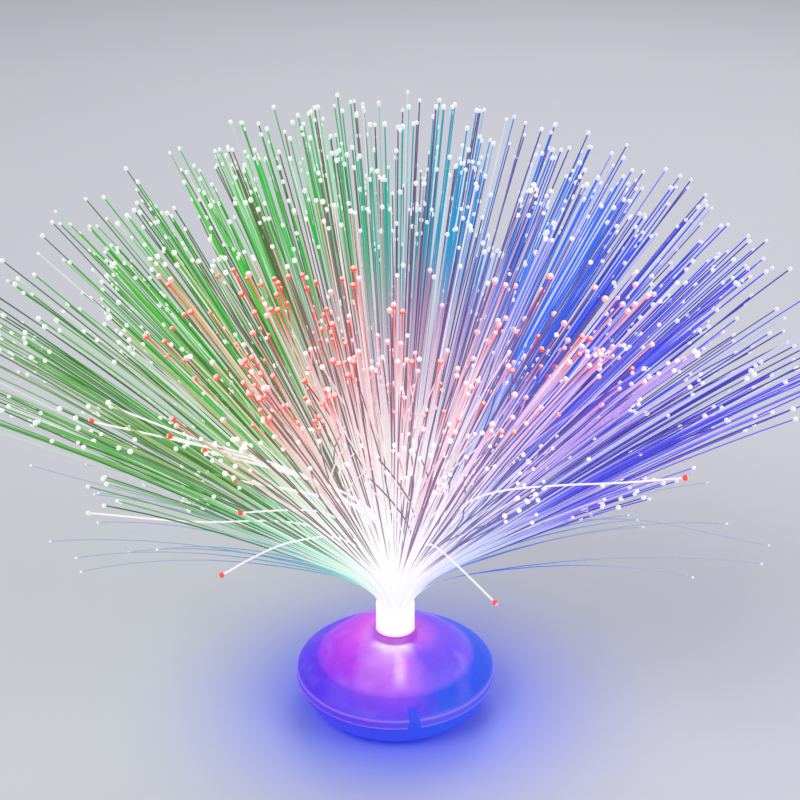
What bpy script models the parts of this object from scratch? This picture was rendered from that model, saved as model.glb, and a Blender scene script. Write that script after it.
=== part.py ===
"""Battery-powered fibre optic lamp.

A saucer-shaped base of two translucent shells holds three cells in a tray, a small light board
and a slide switch. A round cover under the base locks with three tabs. A bundle of plastic light
fibres, potted in a clear ferrule, stands in the collar of the dome and sprays out to both sides.
Lengths are in metres, Z is up, the lamp stands on Z = 0 and its front faces -Y.
"""

import math

import bmesh
import bpy
from mathutils import Matrix, Vector

# Fits
GAP = 0.0003
RUNNING_GAP = 0.0004
OVERRUN = 0.002
MERGE = 0.00001

# Base outline
RIM_RADIUS = 0.045
FOOT_RADIUS = 0.0347
SHOULDER_RADIUS = 0.0347
SEAM_HEIGHT = 0.014
SKIRT_HEIGHT = 0.0045
SHOULDER_RISE = 0.0062
DOME_RISE = 0.0102
COLLAR_HEIGHT = 0.0032
WALL = 0.0016
SEAM_STEP = 0.0007
SEAM_LINE = 0.0004
EDGE_ROUND = 0.0006
DOME_BULGE = 0.003
RING_BULGE = 0.0005
BOWL_BULGE = 0.0015
SPIGOT_HEIGHT = 0.0026
SHARPEST_CORNER_SHARE = 0.5
BASE_STEPS = 48
DOME_STEPS = 5
BOWL_STEPS = 5

# Notch in the rim and the key that fills it
NOTCH_WIDTH = 0.0064
NOTCH_TOP_WIDTH = 0.0044
NOTCH_DEPTH = 0.0052
NOTCH_TURN = math.radians(10.8)
KEY_SINK = 0.0004

# Battery cover and its seat in the foot
FOOT_WIDTH = 0.0039
LIP_THICKNESS = 0.0018
COVER_RECESS = 0.0006
COVER_THICKNESS = 0.0016
TAB_COUNT = 3
TAB_WIDTH = 0.009
TAB_REACH = 0.0018
TAB_THICKNESS = 0.0015
TAB_ROOT = 0.0018
TAB_STOP_WIDTH = 0.0012
COVER_TWIST = math.radians(28)
COIN_SLOT_LENGTH = 0.018
COIN_SLOT_WIDTH = 0.0022
COIN_SLOT_DEPTH = 0.0009

# Cells, of the AAA size, and the tray over them
CELL_RADIUS = 0.00525
CELL_BODY = 0.0437
CELL_NUB = 0.0008
NUB_RADIUS = 0.0019
CELL_EDGE = 0.0005
CELL_PITCH = 0.0113
CELL_COUNT = 3
CELL_CLEARANCE = 0.0004
TRAY_WALL = 0.0014
TRAY_ROOF = 0.0013
TROUGH_RISE = 0.0015
CELL_STEPS = 18

# Contacts
CONTACT_THICKNESS = 0.0004
CONTACT_WIDTH = 0.008
CONTACT_DROP = 0.0035
CONTACT_LIFT = 0.0012
CONTACT_TAG_WIDTH = 0.0022
CONTACT_TAG_RISE = 0.0024
SPRING_LENGTH = 0.0039
SPRING_WIRE = 0.00025
SPRING_BASE_RADIUS = 0.0033
SPRING_TIP_RADIUS = 0.0021
SPRING_TURNS = 3
POINTS_A_TURN = 8

# Screws and the posts that they enter
POST_RADIUS = 0.0026
POST_CLEARANCE = 0.0015
SCREW_RADIUS = 0.001
SCREW_HEAD_RADIUS = 0.0021
SCREW_HEAD_HEIGHT = 0.0016
SHELL_SCREW_LENGTH = 0.0085
SHORT_SCREW_LENGTH = 0.0046
SHELL_SCREW_X = 0.011
EAR_WIDTH = 0.0056
EAR_THICKNESS = 0.0016
EAR_POST_HEIGHT = 0.0032
SCREW_STEPS = 10
POST_STEPS = 12

# Light board
BOARD_RADIUS = 0.017
BOARD_STEPS = 36
BOARD_THICKNESS = 0.0016
BOARD_POST_HEIGHT = 0.004
BOARD_SCREW_X = 0.0132
LED_CIRCLE = 0.0046
LED_RADIUS = 0.0025
LED_FLANGE_RADIUS = 0.0029
LED_FLANGE = 0.001
LED_HEIGHT = 0.0086
LED_LEG = 0.0005
LED_LEG_SPACING = 0.00254
LED_LEG_LENGTH = 0.0034
LED_HEADROOM = 0.0006
LED_STEPS = 14
RESISTOR_RADIUS = 0.0009
RESISTOR_BODY = 0.0032
RESISTOR_SPAN = 0.0062
RESISTOR_LEAD = 0.00028
RESISTOR_CIRCLE = 0.0122
DRILL_RADIUS = 0.00065
DRILL_STEPS = 6

# Collar socket, ferrule and fibre plug
FERRULE_RADIUS = 0.0087
FERRULE_WALL = 0.0006
FERRULE_RISE = 0.0126
FERRULE_STEPS = 30
COLLAR_WALL = 0.0011
LEDGE_THICKNESS = 0.001
LEDGE_WIDTH = 0.0016
PLUG_PROUD = 0.0008

# Light fibres
FIBRE_COUNT = 348
FIBRE_RADIUS = 0.00023
FIBRE_LENGTH = 0.222
LENGTH_SPREAD_SHARE = 0.5
LENGTH_STRIDE_SHARE = 0.7549
FIBRE_FLARE = 0.05
FIBRE_ROOT = 0.0014
FIBRE_SIDES = 3
SLICE_INSET = 0.0006
PLUG_STEPS = 8
SIDE_SPREAD = math.radians(59)
FRONT_SPREAD = math.radians(43)
LEAN_POWER = 1.35
FRONT_LEAN_POWER = 1.0
LOCK_TURNS = (math.radians(20), math.radians(80), math.radians(140))
LOCK_WAVES = (17.0, 29.0, 22.0)
LOCK_PULL_SHARE = 0.32
DROOP = math.radians(8)
ROOT_TILT_SHARE = 0.35
BEND_SHARES = (0.064, 0.19, 1.0)
PATH_STEPS = 160
GOLDEN_ANGLE = math.pi * (3.0 - math.sqrt(5.0))

# Slide switch on the back of the bowl
SWITCH_SHARE = 0.4
SWITCH_LENGTH = 0.0086
SWITCH_WIDTH = 0.0036
SWITCH_DEPTH = 0.0035
SWITCH_SEAT = 0.0006
SLIDER_LENGTH = 0.0024
SLIDER_WIDTH = 0.0018
SLIDER_PROUD = 0.0013
SLIDER_RIBS = 3
SLIDER_GROOVE = 0.0004
SLIDER_SUNK = 0.0009
SLIDER_POCKET = 0.0014
SLIDER_TRAVEL = 0.0025
CLIP_THICKNESS = 0.0012
CLIP_HOOK = 0.0008

# Leads
LEAD_RADIUS = 0.00055
LEAD_POINTS = 14

# Heights worked out from the sizes above
RIM_TOP = SEAM_HEIGHT + SKIRT_HEIGHT
SHOULDER_TOP = RIM_TOP + SHOULDER_RISE
DOME_TOP = SHOULDER_TOP + DOME_RISE
COLLAR_TOP = DOME_TOP + COLLAR_HEIGHT
COVER_TOP = COVER_RECESS + COVER_THICKNESS
TAB_BOTTOM = LIP_THICKNESS + GAP
TAB_TOP = TAB_BOTTOM + TAB_THICKNESS
PLATE_BOTTOM = COVER_TOP + RUNNING_GAP + SCREW_HEAD_HEIGHT + GAP
PLATE_TOP = PLATE_BOTTOM + WALL
CELL_HEIGHT = COVER_TOP + CELL_CLEARANCE + CELL_RADIUS
TROUGH_RADIUS = CELL_RADIUS + GAP
TRAY_BOTTOM = PLATE_TOP + GAP
TRAY_TOP = CELL_HEIGHT + TROUGH_RADIUS + TRAY_ROOF
BOARD_BOTTOM = TRAY_TOP + BOARD_POST_HEIGHT + GAP
BOARD_TOP = BOARD_BOTTOM + BOARD_THICKNESS
LED_BOTTOM = BOARD_TOP + GAP
LEDGE_BOTTOM = LED_BOTTOM + LED_HEIGHT + LED_HEADROOM
LEDGE_TOP = LEDGE_BOTTOM + LEDGE_THICKNESS
FERRULE_BOTTOM = LEDGE_TOP + GAP
FERRULE_TOP = COLLAR_TOP + FERRULE_RISE
PLUG_TOP = FERRULE_TOP + PLUG_PROUD

# Radii and half lengths worked out from the sizes above
SKIRT_INNER = RIM_RADIUS - WALL
SPIGOT_RADIUS = SKIRT_INNER - GAP
COVER_SEAT_RADIUS = FOOT_RADIUS - FOOT_WIDTH
COVER_RADIUS = COVER_SEAT_RADIUS - GAP
TAB_OUTER = COVER_RADIUS + TAB_REACH
TAB_INNER = COVER_RADIUS - TAB_ROOT
FOOT_INNER = TAB_OUTER + RUNNING_GAP + GAP
SOCKET_RADIUS = FERRULE_RADIUS + GAP
COLLAR_RADIUS = SOCKET_RADIUS + COLLAR_WALL
PLUG_RADIUS = FERRULE_RADIUS - FERRULE_WALL - GAP
BAY_HALF = (CELL_BODY + CELL_NUB + SPRING_LENGTH) / 2 + CONTACT_THICKNESS + 2 * GAP
BAY_HALF_WIDTH = CELL_PITCH * (CELL_COUNT - 1) / 2 + TROUGH_RADIUS
TRAY_HALF = BAY_HALF + TRAY_WALL
TRAY_HALF_WIDTH = BAY_HALF_WIDTH + TRAY_WALL
CONTACT_FACE = BAY_HALF - GAP - CONTACT_THICKNESS
SHELL_SCREW_Y = TRAY_HALF_WIDTH + POST_CLEARANCE + POST_RADIUS
EAR_SCREW_Y = TRAY_HALF_WIDTH + EAR_WIDTH / 2
EAR_POST_TOP = PLATE_TOP + EAR_POST_HEIGHT
HOLE_RADIUS = SCREW_RADIUS + GAP
ROWS = [(i - (CELL_COUNT - 1) / 2) * CELL_PITCH for i in range(CELL_COUNT)]


def new_collection(name):
    made = bpy.data.collections.new(name)
    bpy.context.scene.collection.children.link(made)
    return made


for old in list(bpy.data.objects):
    bpy.data.objects.remove(old, do_unlink=True)
LAMP = new_collection("Fibre optic lamp")
CUTTERS = new_collection("Cutters")


def material(name, colour, roughness, metallic=0.0, glow=0.0):
    made = bpy.data.materials.new(name)
    made.use_nodes = True
    shader = made.node_tree.nodes["Principled BSDF"]
    shader.inputs["Base Color"].default_value = (*colour, 1.0)
    shader.inputs["Roughness"].default_value = roughness
    shader.inputs["Metallic"].default_value = metallic
    shader.inputs["Emission Color"].default_value = (*colour, 1.0)
    shader.inputs["Emission Strength"].default_value = glow
    made.diffuse_color = (*colour, 1.0)
    return made


def add_object(name, data, finish=None, frame=None):
    """An object for some data: a part if it has a finish, else a cutter or a guide."""
    made = bpy.data.objects.new(name, data)
    if frame is not None:
        made.matrix_world = frame
    if finish is None:
        CUTTERS.objects.link(made)
        made.hide_render = True
        made.display_type = "WIRE"
    else:
        LAMP.objects.link(made)
        data.materials.append(finish)
    return made


def turned(name, outline, steps, finish=None, frame=None):
    """A solid of revolution: the outline's (radius, height) points run down its outer side.
    An outline whose two ends aren't on the axis closes on itself."""
    mesh = bpy.data.meshes.new(name)
    points = [(radius, 0.0, height) for radius, height in outline]
    edges = [(i, i + 1) for i in range(len(points) - 1)]
    if outline[0][0] > 0.0 or outline[-1][0] > 0.0:
        edges.append((len(points) - 1, 0))
    mesh.from_pydata(points, edges, [])
    made = add_object(name, mesh, finish, frame)
    screw = made.modifiers.new("Turn", "SCREW")
    screw.axis = "Z"
    screw.steps = steps
    screw.render_steps = steps
    screw.use_merge_vertices = True
    screw.merge_threshold = MERGE
    screw.use_smooth_shade = True
    return made


def solid(name, build, finish=None, frame=None):
    """An object from a function that fills a bmesh."""
    mesh = bpy.data.meshes.new(name)
    shape = bmesh.new()
    build(shape)
    shape.to_mesh(mesh)
    shape.free()
    return add_object(name, mesh, finish, frame)


def box(name, size, centre, finish=None, frame=None):
    place = Matrix.Translation(centre) @ Matrix.Diagonal((*size, 1.0))

    def build(shape):
        bmesh.ops.create_cube(shape, size=1.0, matrix=place)

    return solid(name, build, finish, frame)


def add_cylinder(shape, radius, bottom, top, centre, steps):
    place = Matrix.Translation((*centre, (bottom + top) / 2))
    bmesh.ops.create_cone(
        shape,
        cap_ends=True,
        segments=steps,
        radius1=radius,
        radius2=radius,
        depth=top - bottom,
        matrix=place,
    )


def cylinder(name, radius, bottom, top, centre=(0.0, 0.0), steps=SCREW_STEPS, finish=None, frame=None):
    def build(shape):
        add_cylinder(shape, radius, bottom, top, centre, steps)

    return solid(name, build, finish, frame)


def prism(name, outline, bottom, top, finish=None, frame=None):
    """A flat outline, counter-clockwise seen from above, raised from one height to another."""

    def build(shape):
        face = shape.faces.new([shape.verts.new((x, y, bottom)) for x, y in outline])
        raised = bmesh.ops.extrude_face_region(shape, geom=[face])
        verts = [v for v in raised["geom"] if isinstance(v, bmesh.types.BMVert)]
        bmesh.ops.translate(shape, verts=verts, vec=(0.0, 0.0, top - bottom))
        bmesh.ops.recalc_face_normals(shape, faces=shape.faces)

    return solid(name, build, finish, frame)


def upright(name, outline, width, angle):
    """A prism that stands on edge: its outline's (radius, height) points run counter-clockwise
    as seen from -Y at no turn, and its width lies across the radius."""
    stand = turn_z(angle) @ Matrix.Rotation(math.radians(90), 4, "X")
    return prism(name, outline, -width / 2, width / 2, frame=stand)


def combine(target, other, operation):
    step = target.modifiers.new(other.name, "BOOLEAN")
    step.operation = operation
    step.solver = "EXACT"
    step.object = other


def cut(target, *others):
    for other in others:
        combine(target, other, "DIFFERENCE")


def join(target, *others):
    for other in others:
        combine(target, other, "UNION")


def arc(start, end, bulge, steps):
    """Points of a round arc from start to end, bulging by that height to the left of the way."""
    chord = Vector(end) - Vector(start)
    half = chord.length / 2
    radius = (half * half + bulge * bulge) / (2 * abs(bulge))
    side = math.copysign(1.0, bulge)
    left = Vector((-chord.y, chord.x)).normalized() * side
    centre = (Vector(start) + Vector(end)) / 2 - left * (radius - abs(bulge))
    reach = math.asin(half / radius)
    ahead = chord.normalized()
    turns = [reach * (2 * i / steps - 1) for i in range(steps + 1)]
    return [tuple(centre + left * radius * math.cos(t) + ahead * radius * math.sin(t)) for t in turns]


def inset(line, depth):
    """A line moved to its right by a depth, as a wall's inner face follows its outer face."""
    ways = [(Vector(b) - Vector(a)).normalized() for a, b in zip(line, line[1:])]
    moved = []
    for i, point in enumerate(line):
        before, after = ways[max(i - 1, 0)], ways[min(i, len(ways) - 1)]
        middle = (before + after).normalized()
        right = Vector((middle.y, -middle.x))
        moved.append(tuple(Vector(point) + right * depth / max(middle.dot(after), SHARPEST_CORNER_SHARE)))
    return moved


def radius_at(line, height):
    """The radius at which a line that runs down crosses a height."""
    for (r0, z0), (r1, z1) in zip(line, line[1:]):
        if z1 <= height <= z0:
            return r0 + (r1 - r0) * (z0 - height) / (z0 - z1)
    return line[-1][0]


def around(angle, radius, height=0.0):
    return Vector((radius * math.cos(angle), radius * math.sin(angle), height))


def turn_z(angle):
    return Matrix.Rotation(angle, 4, "Z")


def smooth_route(points, count):
    """Evenly counted points on the smooth curve through a route's own points."""
    ends = [2 * Vector(points[0]) - Vector(points[1]), 2 * Vector(points[-1]) - Vector(points[-2])]
    known = [ends[0], *map(Vector, points), ends[1]]
    route = []
    for i in range(count):
        place = (len(points) - 1) * i / (count - 1)
        leg = min(int(place), len(points) - 2)
        t = place - leg
        a, b, c, d = known[leg : leg + 4]
        route.append(
            0.5 * (2 * b + (c - a) * t + (2 * a - 5 * b + 4 * c - d) * t**2 + (3 * b - a - 3 * c + d) * t**3)
        )
    return route


def wire(name, points, radius, sides_level, finish, scales=None):
    """A round wire through the points, with the radius scaled at each point if asked."""
    data = bpy.data.curves.new(name, "CURVE")
    data.dimensions = "3D"
    data.bevel_depth = radius
    data.bevel_resolution = sides_level
    data.use_fill_caps = True
    spline = data.splines.new("POLY")
    spline.points.add(len(points) - 1)
    for i, point in enumerate(points):
        spline.points[i].co = (*point, 1.0)
        spline.points[i].radius = scales[i] if scales else 1.0
    return add_object(name, data, finish)


# Surfaces of the base

DOME_LINE = arc((COLLAR_RADIUS, DOME_TOP), (SHOULDER_RADIUS, SHOULDER_TOP), DOME_BULGE, DOME_STEPS)
RING_LINE = arc(
    (SHOULDER_RADIUS, SHOULDER_TOP), (RIM_RADIUS - EDGE_ROUND, RIM_TOP + EDGE_ROUND), RING_BULGE, 2
)
BOWL_LINE = arc(
    (RIM_RADIUS - SEAM_STEP, SEAM_HEIGHT - SEAM_LINE), (FOOT_RADIUS, EDGE_ROUND), BOWL_BULGE, BOWL_STEPS
)


def outer_height(radius):
    """The height of the upper shell's outer face over a radius between collar and rim."""
    line = [*DOME_LINE, *RING_LINE[1:]]
    for (r0, z0), (r1, z1) in zip(line, line[1:]):
        if r0 <= radius <= r1:
            return z0 + (z1 - z0) * (radius - r0) / (r1 - r0)
    return RIM_TOP


def dome_post(name, x, y):
    """A post whose top follows the dome, half a wall below its outer face."""

    def build(shape):
        add_cylinder(shape, POST_RADIUS, TRAY_BOTTOM, RIM_TOP, (x, y), POST_STEPS)
        for vert in shape.verts:
            if vert.co.z > TRAY_BOTTOM + MERGE:
                vert.co.z = outer_height(vert.co.xy.length) - WALL / 2
        bmesh.ops.triangulate(shape, faces=shape.faces)

    return solid(name, build)


def shell_screw_places():
    return [(x, y) for x in (-SHELL_SCREW_X, SHELL_SCREW_X) for y in (-SHELL_SCREW_Y, SHELL_SCREW_Y)]


def tab_angles():
    return [math.radians(90) + math.tau * i / TAB_COUNT for i in range(TAB_COUNT)]


def wall_frame():
    """A place on the back of the bowl: X runs along the slot and Z points out of the wall."""
    place = SWITCH_SHARE * (len(BOWL_LINE) - 1)
    leg = int(place)
    above, below = Vector(BOWL_LINE[leg]), Vector(BOWL_LINE[leg + 1])
    point = above.lerp(below, place - leg)
    way = (below - above).normalized()
    out = Vector((0.0, -way.y, way.x))
    down = out.cross(Vector((1.0, 0.0, 0.0)))
    frame = Matrix((Vector((1.0, 0.0, 0.0)), down, out)).transposed().to_4x4()
    frame.translation = (0.0, point.x, point.y)
    return frame


SWITCH_FRAME = wall_frame()


def upper_shell(finish):
    inner = inset([*DOME_LINE, *RING_LINE[1:]], WALL)
    outline = [
        (SOCKET_RADIUS, COLLAR_TOP),
        (COLLAR_RADIUS - EDGE_ROUND, COLLAR_TOP),
        (COLLAR_RADIUS, COLLAR_TOP - EDGE_ROUND),
        *DOME_LINE,
        *RING_LINE[1:],
        (RIM_RADIUS, RIM_TOP - EDGE_ROUND),
        (RIM_RADIUS, SEAM_HEIGHT + EDGE_ROUND),
        (RIM_RADIUS - EDGE_ROUND, SEAM_HEIGHT),
        (SKIRT_INNER, SEAM_HEIGHT),
        (SKIRT_INNER, inner[-1][1] - EDGE_ROUND),
        *reversed(inner[1:-1]),
        (COLLAR_RADIUS - GAP, inner[0][1]),
        (COLLAR_RADIUS - GAP, LEDGE_BOTTOM),
        (SOCKET_RADIUS - LEDGE_WIDTH, LEDGE_BOTTOM),
        (SOCKET_RADIUS - LEDGE_WIDTH, LEDGE_TOP),
        (SOCKET_RADIUS, LEDGE_TOP),
    ]
    shell = turned("upper_shell", outline, BASE_STEPS, finish)
    for i, (x, y) in enumerate(shell_screw_places()):
        join(shell, dome_post(f"shell post {i}", x, y))
        cut(shell, cylinder(f"shell pilot {i}", HOLE_RADIUS, 0.0, PLATE_TOP + SHELL_SCREW_LENGTH, (x, y)))
    low, high = SEAM_HEIGHT - OVERRUN, SHOULDER_TOP + OVERRUN
    cut(shell, notch_block("rim notch", 0.0, RIM_RADIUS + OVERRUN, low, high))
    return shell


def notch_block(name, clearance, outer, bottom, top):
    """What fills the rim notch, or cuts it: straight over the ring and wider down the skirt."""
    slope = (NOTCH_WIDTH - NOTCH_TOP_WIDTH) / 2 / SKIRT_HEIGHT
    narrow = NOTCH_TOP_WIDTH / 2 - clearance
    wide = narrow + slope * (RIM_TOP - bottom)
    right = [(wide, bottom), (narrow, RIM_TOP), (narrow, top)]
    outline = [*right, *((-x, z) for x, z in reversed(right))]
    inner = RIM_RADIUS - NOTCH_DEPTH + clearance
    stand = turn_z(NOTCH_TURN) @ Matrix.Rotation(math.radians(90), 4, "X")
    return prism(name, outline, inner, outer, frame=stand)


def lower_shell(finish):
    bowl_inner = inset(BOWL_LINE, WALL)
    rising = [p for p in reversed(bowl_inner) if p[1] > PLATE_TOP]
    foot_wall = FOOT_INNER + (PLATE_BOTTOM - LIP_THICKNESS) / 2
    outline = [
        (0.0, PLATE_TOP),
        (radius_at(bowl_inner, PLATE_TOP), PLATE_TOP),
        *rising[:-1],
        (SPIGOT_RADIUS - WALL, SEAM_HEIGHT),
        (SPIGOT_RADIUS - WALL, SEAM_HEIGHT + SPIGOT_HEIGHT),
        (SPIGOT_RADIUS, SEAM_HEIGHT + SPIGOT_HEIGHT),
        (SPIGOT_RADIUS, SEAM_HEIGHT - SEAM_LINE),
        *BOWL_LINE,
        (FOOT_RADIUS - EDGE_ROUND, 0.0),
        (COVER_SEAT_RADIUS, 0.0),
        (COVER_SEAT_RADIUS, LIP_THICKNESS),
        (FOOT_INNER, LIP_THICKNESS),
        (foot_wall, PLATE_BOTTOM),
        (0.0, PLATE_BOTTOM),
    ]
    shell = turned("lower_shell", outline, BASE_STEPS, finish)
    join(shell, rim_key(), *switch_clips(), *tab_stops())
    middle = (PLATE_BOTTOM + PLATE_TOP) / 2
    window = (2 * BAY_HALF, 2 * BAY_HALF_WIDTH, WALL + OVERRUN)
    cut(shell, box("cell window", window, (0.0, 0.0, middle)))
    for i, y in enumerate((-EAR_SCREW_Y, EAR_SCREW_Y)):
        join(shell, cylinder(f"ear post {i}", POST_RADIUS, middle, EAR_POST_TOP, (0.0, y), POST_STEPS))
        cut(shell, cylinder(f"ear pilot {i}", HOLE_RADIUS, PLATE_TOP - GAP, EAR_POST_TOP + OVERRUN, (0.0, y)))
    for i, (x, y) in enumerate(shell_screw_places()):
        low = PLATE_BOTTOM - SCREW_HEAD_HEIGHT
        cut(shell, cylinder(f"shell screw hole {i}", HOLE_RADIUS, low, PLATE_TOP + OVERRUN, (x, y)))
    notch_width = TAB_WIDTH + 4 * RUNNING_GAP
    for i, angle in enumerate(tab_angles()):
        centre = ((COVER_SEAT_RADIUS - OVERRUN + TAB_OUTER + RUNNING_GAP) / 2, 0.0, 0.0)
        size = (TAB_OUTER + RUNNING_GAP - COVER_SEAT_RADIUS + OVERRUN, notch_width, 2 * LIP_THICKNESS + GAP)
        cut(shell, box(f"lip notch {i}", size, centre, frame=turn_z(angle - COVER_TWIST)))
    slot = (SLIDER_TRAVEL + SLIDER_LENGTH + 2 * GAP, SLIDER_WIDTH + 2 * GAP, 2 * OVERRUN + WALL)
    cut(shell, box("switch slot", slot, (0.0, 0.0, -WALL / 2), frame=SWITCH_FRAME))
    return shell


def rim_key():
    """The block that fills the rim notch, with its top just under the ring's face."""
    bottom = SEAM_HEIGHT - SEAM_LINE - EDGE_ROUND
    key = notch_block("rim key", GAP, RIM_RADIUS - KEY_SINK, bottom, SHOULDER_TOP)
    inner, edge, outer = RIM_RADIUS - NOTCH_DEPTH - OVERRUN, RIM_RADIUS - EDGE_ROUND, RIM_RADIUS + OVERRUN
    inner_height, edge_height = outer_height(inner) - KEY_SINK, outer_height(edge) - KEY_SINK
    above = [
        (inner, inner_height),
        (edge, edge_height),
        (outer, edge_height - 2 * (outer - edge)),
        (outer, SHOULDER_TOP + OVERRUN),
        (inner, SHOULDER_TOP + OVERRUN),
    ]
    cut(key, upright("above the key", above, 2 * NOTCH_WIDTH, NOTCH_TURN - math.radians(90)))
    return key


def switch_clips():
    """Two ribs behind the slot, each with a hook over the switch's back."""
    back = -(WALL + SWITCH_SEAT + SWITCH_DEPTH + GAP)
    deep = back - CLIP_THICKNESS
    inner = SWITCH_LENGTH / 2 + GAP
    outer = inner + CLIP_THICKNESS
    tip = inner - CLIP_HOOK
    stand = SWITCH_FRAME @ Matrix.Rotation(math.radians(90), 4, "X")
    rib = [(tip, deep), (outer, deep), (outer, -WALL / 2), (inner, -WALL / 2), (inner, back), (tip, back)]
    mirrored = [(-x, z) for x, z in reversed(rib)]
    sides = (("right", rib), ("left", mirrored))
    half = SWITCH_WIDTH / 2
    return [prism(f"{side} clip", outline, -half, half, frame=stand) for side, outline in sides]


def tab_stops():
    """Ribs on the lip that stop each tab where it is locked and where it is free."""
    reach = TAB_WIDTH / 2 + RUNNING_GAP + TAB_STOP_WIDTH / 2
    size = (FOOT_WIDTH - LIP_THICKNESS / 2, TAB_STOP_WIDTH, TAB_THICKNESS + LIP_THICKNESS / 2)
    made = []
    for i, angle in enumerate(tab_angles()):
        clear = math.atan(reach / COVER_RADIUS)
        turns = (angle + clear, angle - COVER_TWIST - clear)
        for j, turn in enumerate(turns):
            radius = COVER_SEAT_RADIUS + GAP + size[0] / 2
            centre = (radius, 0.0, LIP_THICKNESS / 2 + size[2] / 2)
            made.append(box(f"tab stop {i} {j}", size, centre, frame=turn_z(turn)))
    return made


def battery_cover(finish):
    outline = [
        (0.0, COVER_TOP),
        (COVER_RADIUS, COVER_TOP),
        (COVER_RADIUS, COVER_RECESS + EDGE_ROUND),
        (COVER_RADIUS - EDGE_ROUND, COVER_RECESS),
        (0.0, COVER_RECESS),
    ]
    cover = turned("battery_cover", outline, BASE_STEPS, finish)
    root = COVER_TOP - COVER_THICKNESS / 2
    tab = [
        (TAB_INNER, root),
        (COVER_RADIUS - GAP, root),
        (COVER_RADIUS - GAP, TAB_BOTTOM),
        (TAB_OUTER, TAB_BOTTOM),
        (TAB_OUTER, TAB_TOP),
        (TAB_INNER, TAB_TOP),
    ]
    for i, angle in enumerate(tab_angles()):
        join(cover, upright(f"tab {i}", tab, TAB_WIDTH, angle))
    slot_size = (COIN_SLOT_LENGTH, COIN_SLOT_WIDTH, 2 * COIN_SLOT_DEPTH)
    cut(cover, box("coin slot", slot_size, (0.0, 0.0, COVER_RECESS)))
    return cover


def battery_tray(finish):
    height = TRAY_TOP - TRAY_BOTTOM
    size = (2 * TRAY_HALF, 2 * TRAY_HALF_WIDTH, height)
    tray = box("battery_tray", size, (0.0, 0.0, TRAY_BOTTOM + height / 2), finish)
    for i, y in enumerate((-EAR_SCREW_Y, EAR_SCREW_Y)):
        ear = (EAR_WIDTH, EAR_WIDTH + TRAY_WALL, EAR_THICKNESS)
        ear_y = math.copysign(TRAY_HALF_WIDTH + (EAR_WIDTH - TRAY_WALL) / 2, y)
        join(tray, box(f"tray ear {i}", ear, (0.0, ear_y, EAR_POST_TOP + GAP + EAR_THICKNESS / 2)))
        ear_top = EAR_POST_TOP + EAR_THICKNESS + OVERRUN
        cut(tray, cylinder(f"ear hole {i}", HOLE_RADIUS, EAR_POST_TOP, ear_top, (0.0, y)))
    hollow_top = CELL_HEIGHT + TROUGH_RISE
    hollow = (2 * BAY_HALF, 2 * BAY_HALF_WIDTH, hollow_top)
    cut(tray, box("tray hollow", hollow, (0.0, 0.0, hollow_top / 2)))
    along = Matrix.Rotation(math.radians(90), 4, "Y")
    for i, y in enumerate(ROWS):
        place = Matrix.Translation((0.0, y, CELL_HEIGHT)) @ along
        cut(tray, cylinder(f"trough {i}", TROUGH_RADIUS, -BAY_HALF, BAY_HALF, steps=CELL_STEPS, frame=place))
    for i, x in enumerate((-BOARD_SCREW_X, BOARD_SCREW_X)):
        top = TRAY_TOP + BOARD_POST_HEIGHT
        join(tray, cylinder(f"board post {i}", POST_RADIUS, TRAY_TOP - TRAY_ROOF / 2, top, (x, 0.0), POST_STEPS))
        cut(tray, cylinder(f"board pilot {i}", HOLE_RADIUS, TRAY_TOP, top + OVERRUN, (x, 0.0)))
    slot = (CONTACT_THICKNESS + 2 * GAP, CONTACT_TAG_WIDTH + 2 * GAP, 2 * TROUGH_RADIUS)
    for i, (x, y) in enumerate(tag_places()):
        cut(tray, box(f"tag slot {i}", slot, (x, y, TRAY_TOP)))
    return tray


def tag_places():
    """Where the positive and the negative contact's tag pass the tray's roof."""
    middle = CONTACT_FACE + CONTACT_THICKNESS / 2
    return [(middle, ROWS[-1]), (-middle, ROWS[0])]


def cell_way(i):
    """+1 for a cell whose nub faces +X, and -1 for one turned round."""
    return 1 if (CELL_COUNT - 1 - i) % 2 == 0 else -1


def cell(i, finish):
    outline = [
        (0.0, CELL_BODY + CELL_NUB),
        (NUB_RADIUS, CELL_BODY + CELL_NUB),
        (NUB_RADIUS, CELL_BODY),
        (CELL_RADIUS - CELL_EDGE, CELL_BODY),
        (CELL_RADIUS, CELL_BODY - CELL_EDGE),
        (CELL_RADIUS, CELL_EDGE),
        (CELL_RADIUS - CELL_EDGE, 0.0),
        (0.0, 0.0),
    ]
    way = cell_way(i)
    start = CONTACT_FACE - GAP - CELL_BODY - CELL_NUB
    lying = Matrix.Rotation(way * math.radians(90), 4, "Y")
    place = Matrix.Translation((way * start, ROWS[i], CELL_HEIGHT)) @ lying
    return turned(f"battery_{i + 1}", outline, CELL_STEPS, finish, place)


def cell_spring(i, finish):
    """A conical spring from the contact to the flat end of a cell."""
    way = cell_way(i)
    start = -CONTACT_FACE + GAP + SPRING_WIRE
    length = SPRING_LENGTH - 2 * GAP - 2 * SPRING_WIRE
    points, count = [], SPRING_TURNS * POINTS_A_TURN
    for k in range(count + 1):
        share = k / count
        radius = SPRING_BASE_RADIUS + (SPRING_TIP_RADIUS - SPRING_BASE_RADIUS) * share
        angle = math.tau * k / POINTS_A_TURN
        x = way * (start + length * share)
        points.append((x, ROWS[i] + radius * math.cos(angle), CELL_HEIGHT + radius * math.sin(angle)))
    least = min((Vector(a) - Vector(b)).length for a, b in zip(points, points[POINTS_A_TURN:]))
    print(f"least gap in spring_{i + 1}: {1000 * (least - 2 * SPRING_WIRE):.2f} mm")
    return wire(f"spring_{i + 1}", points, SPRING_WIRE, 1, finish)


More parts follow.
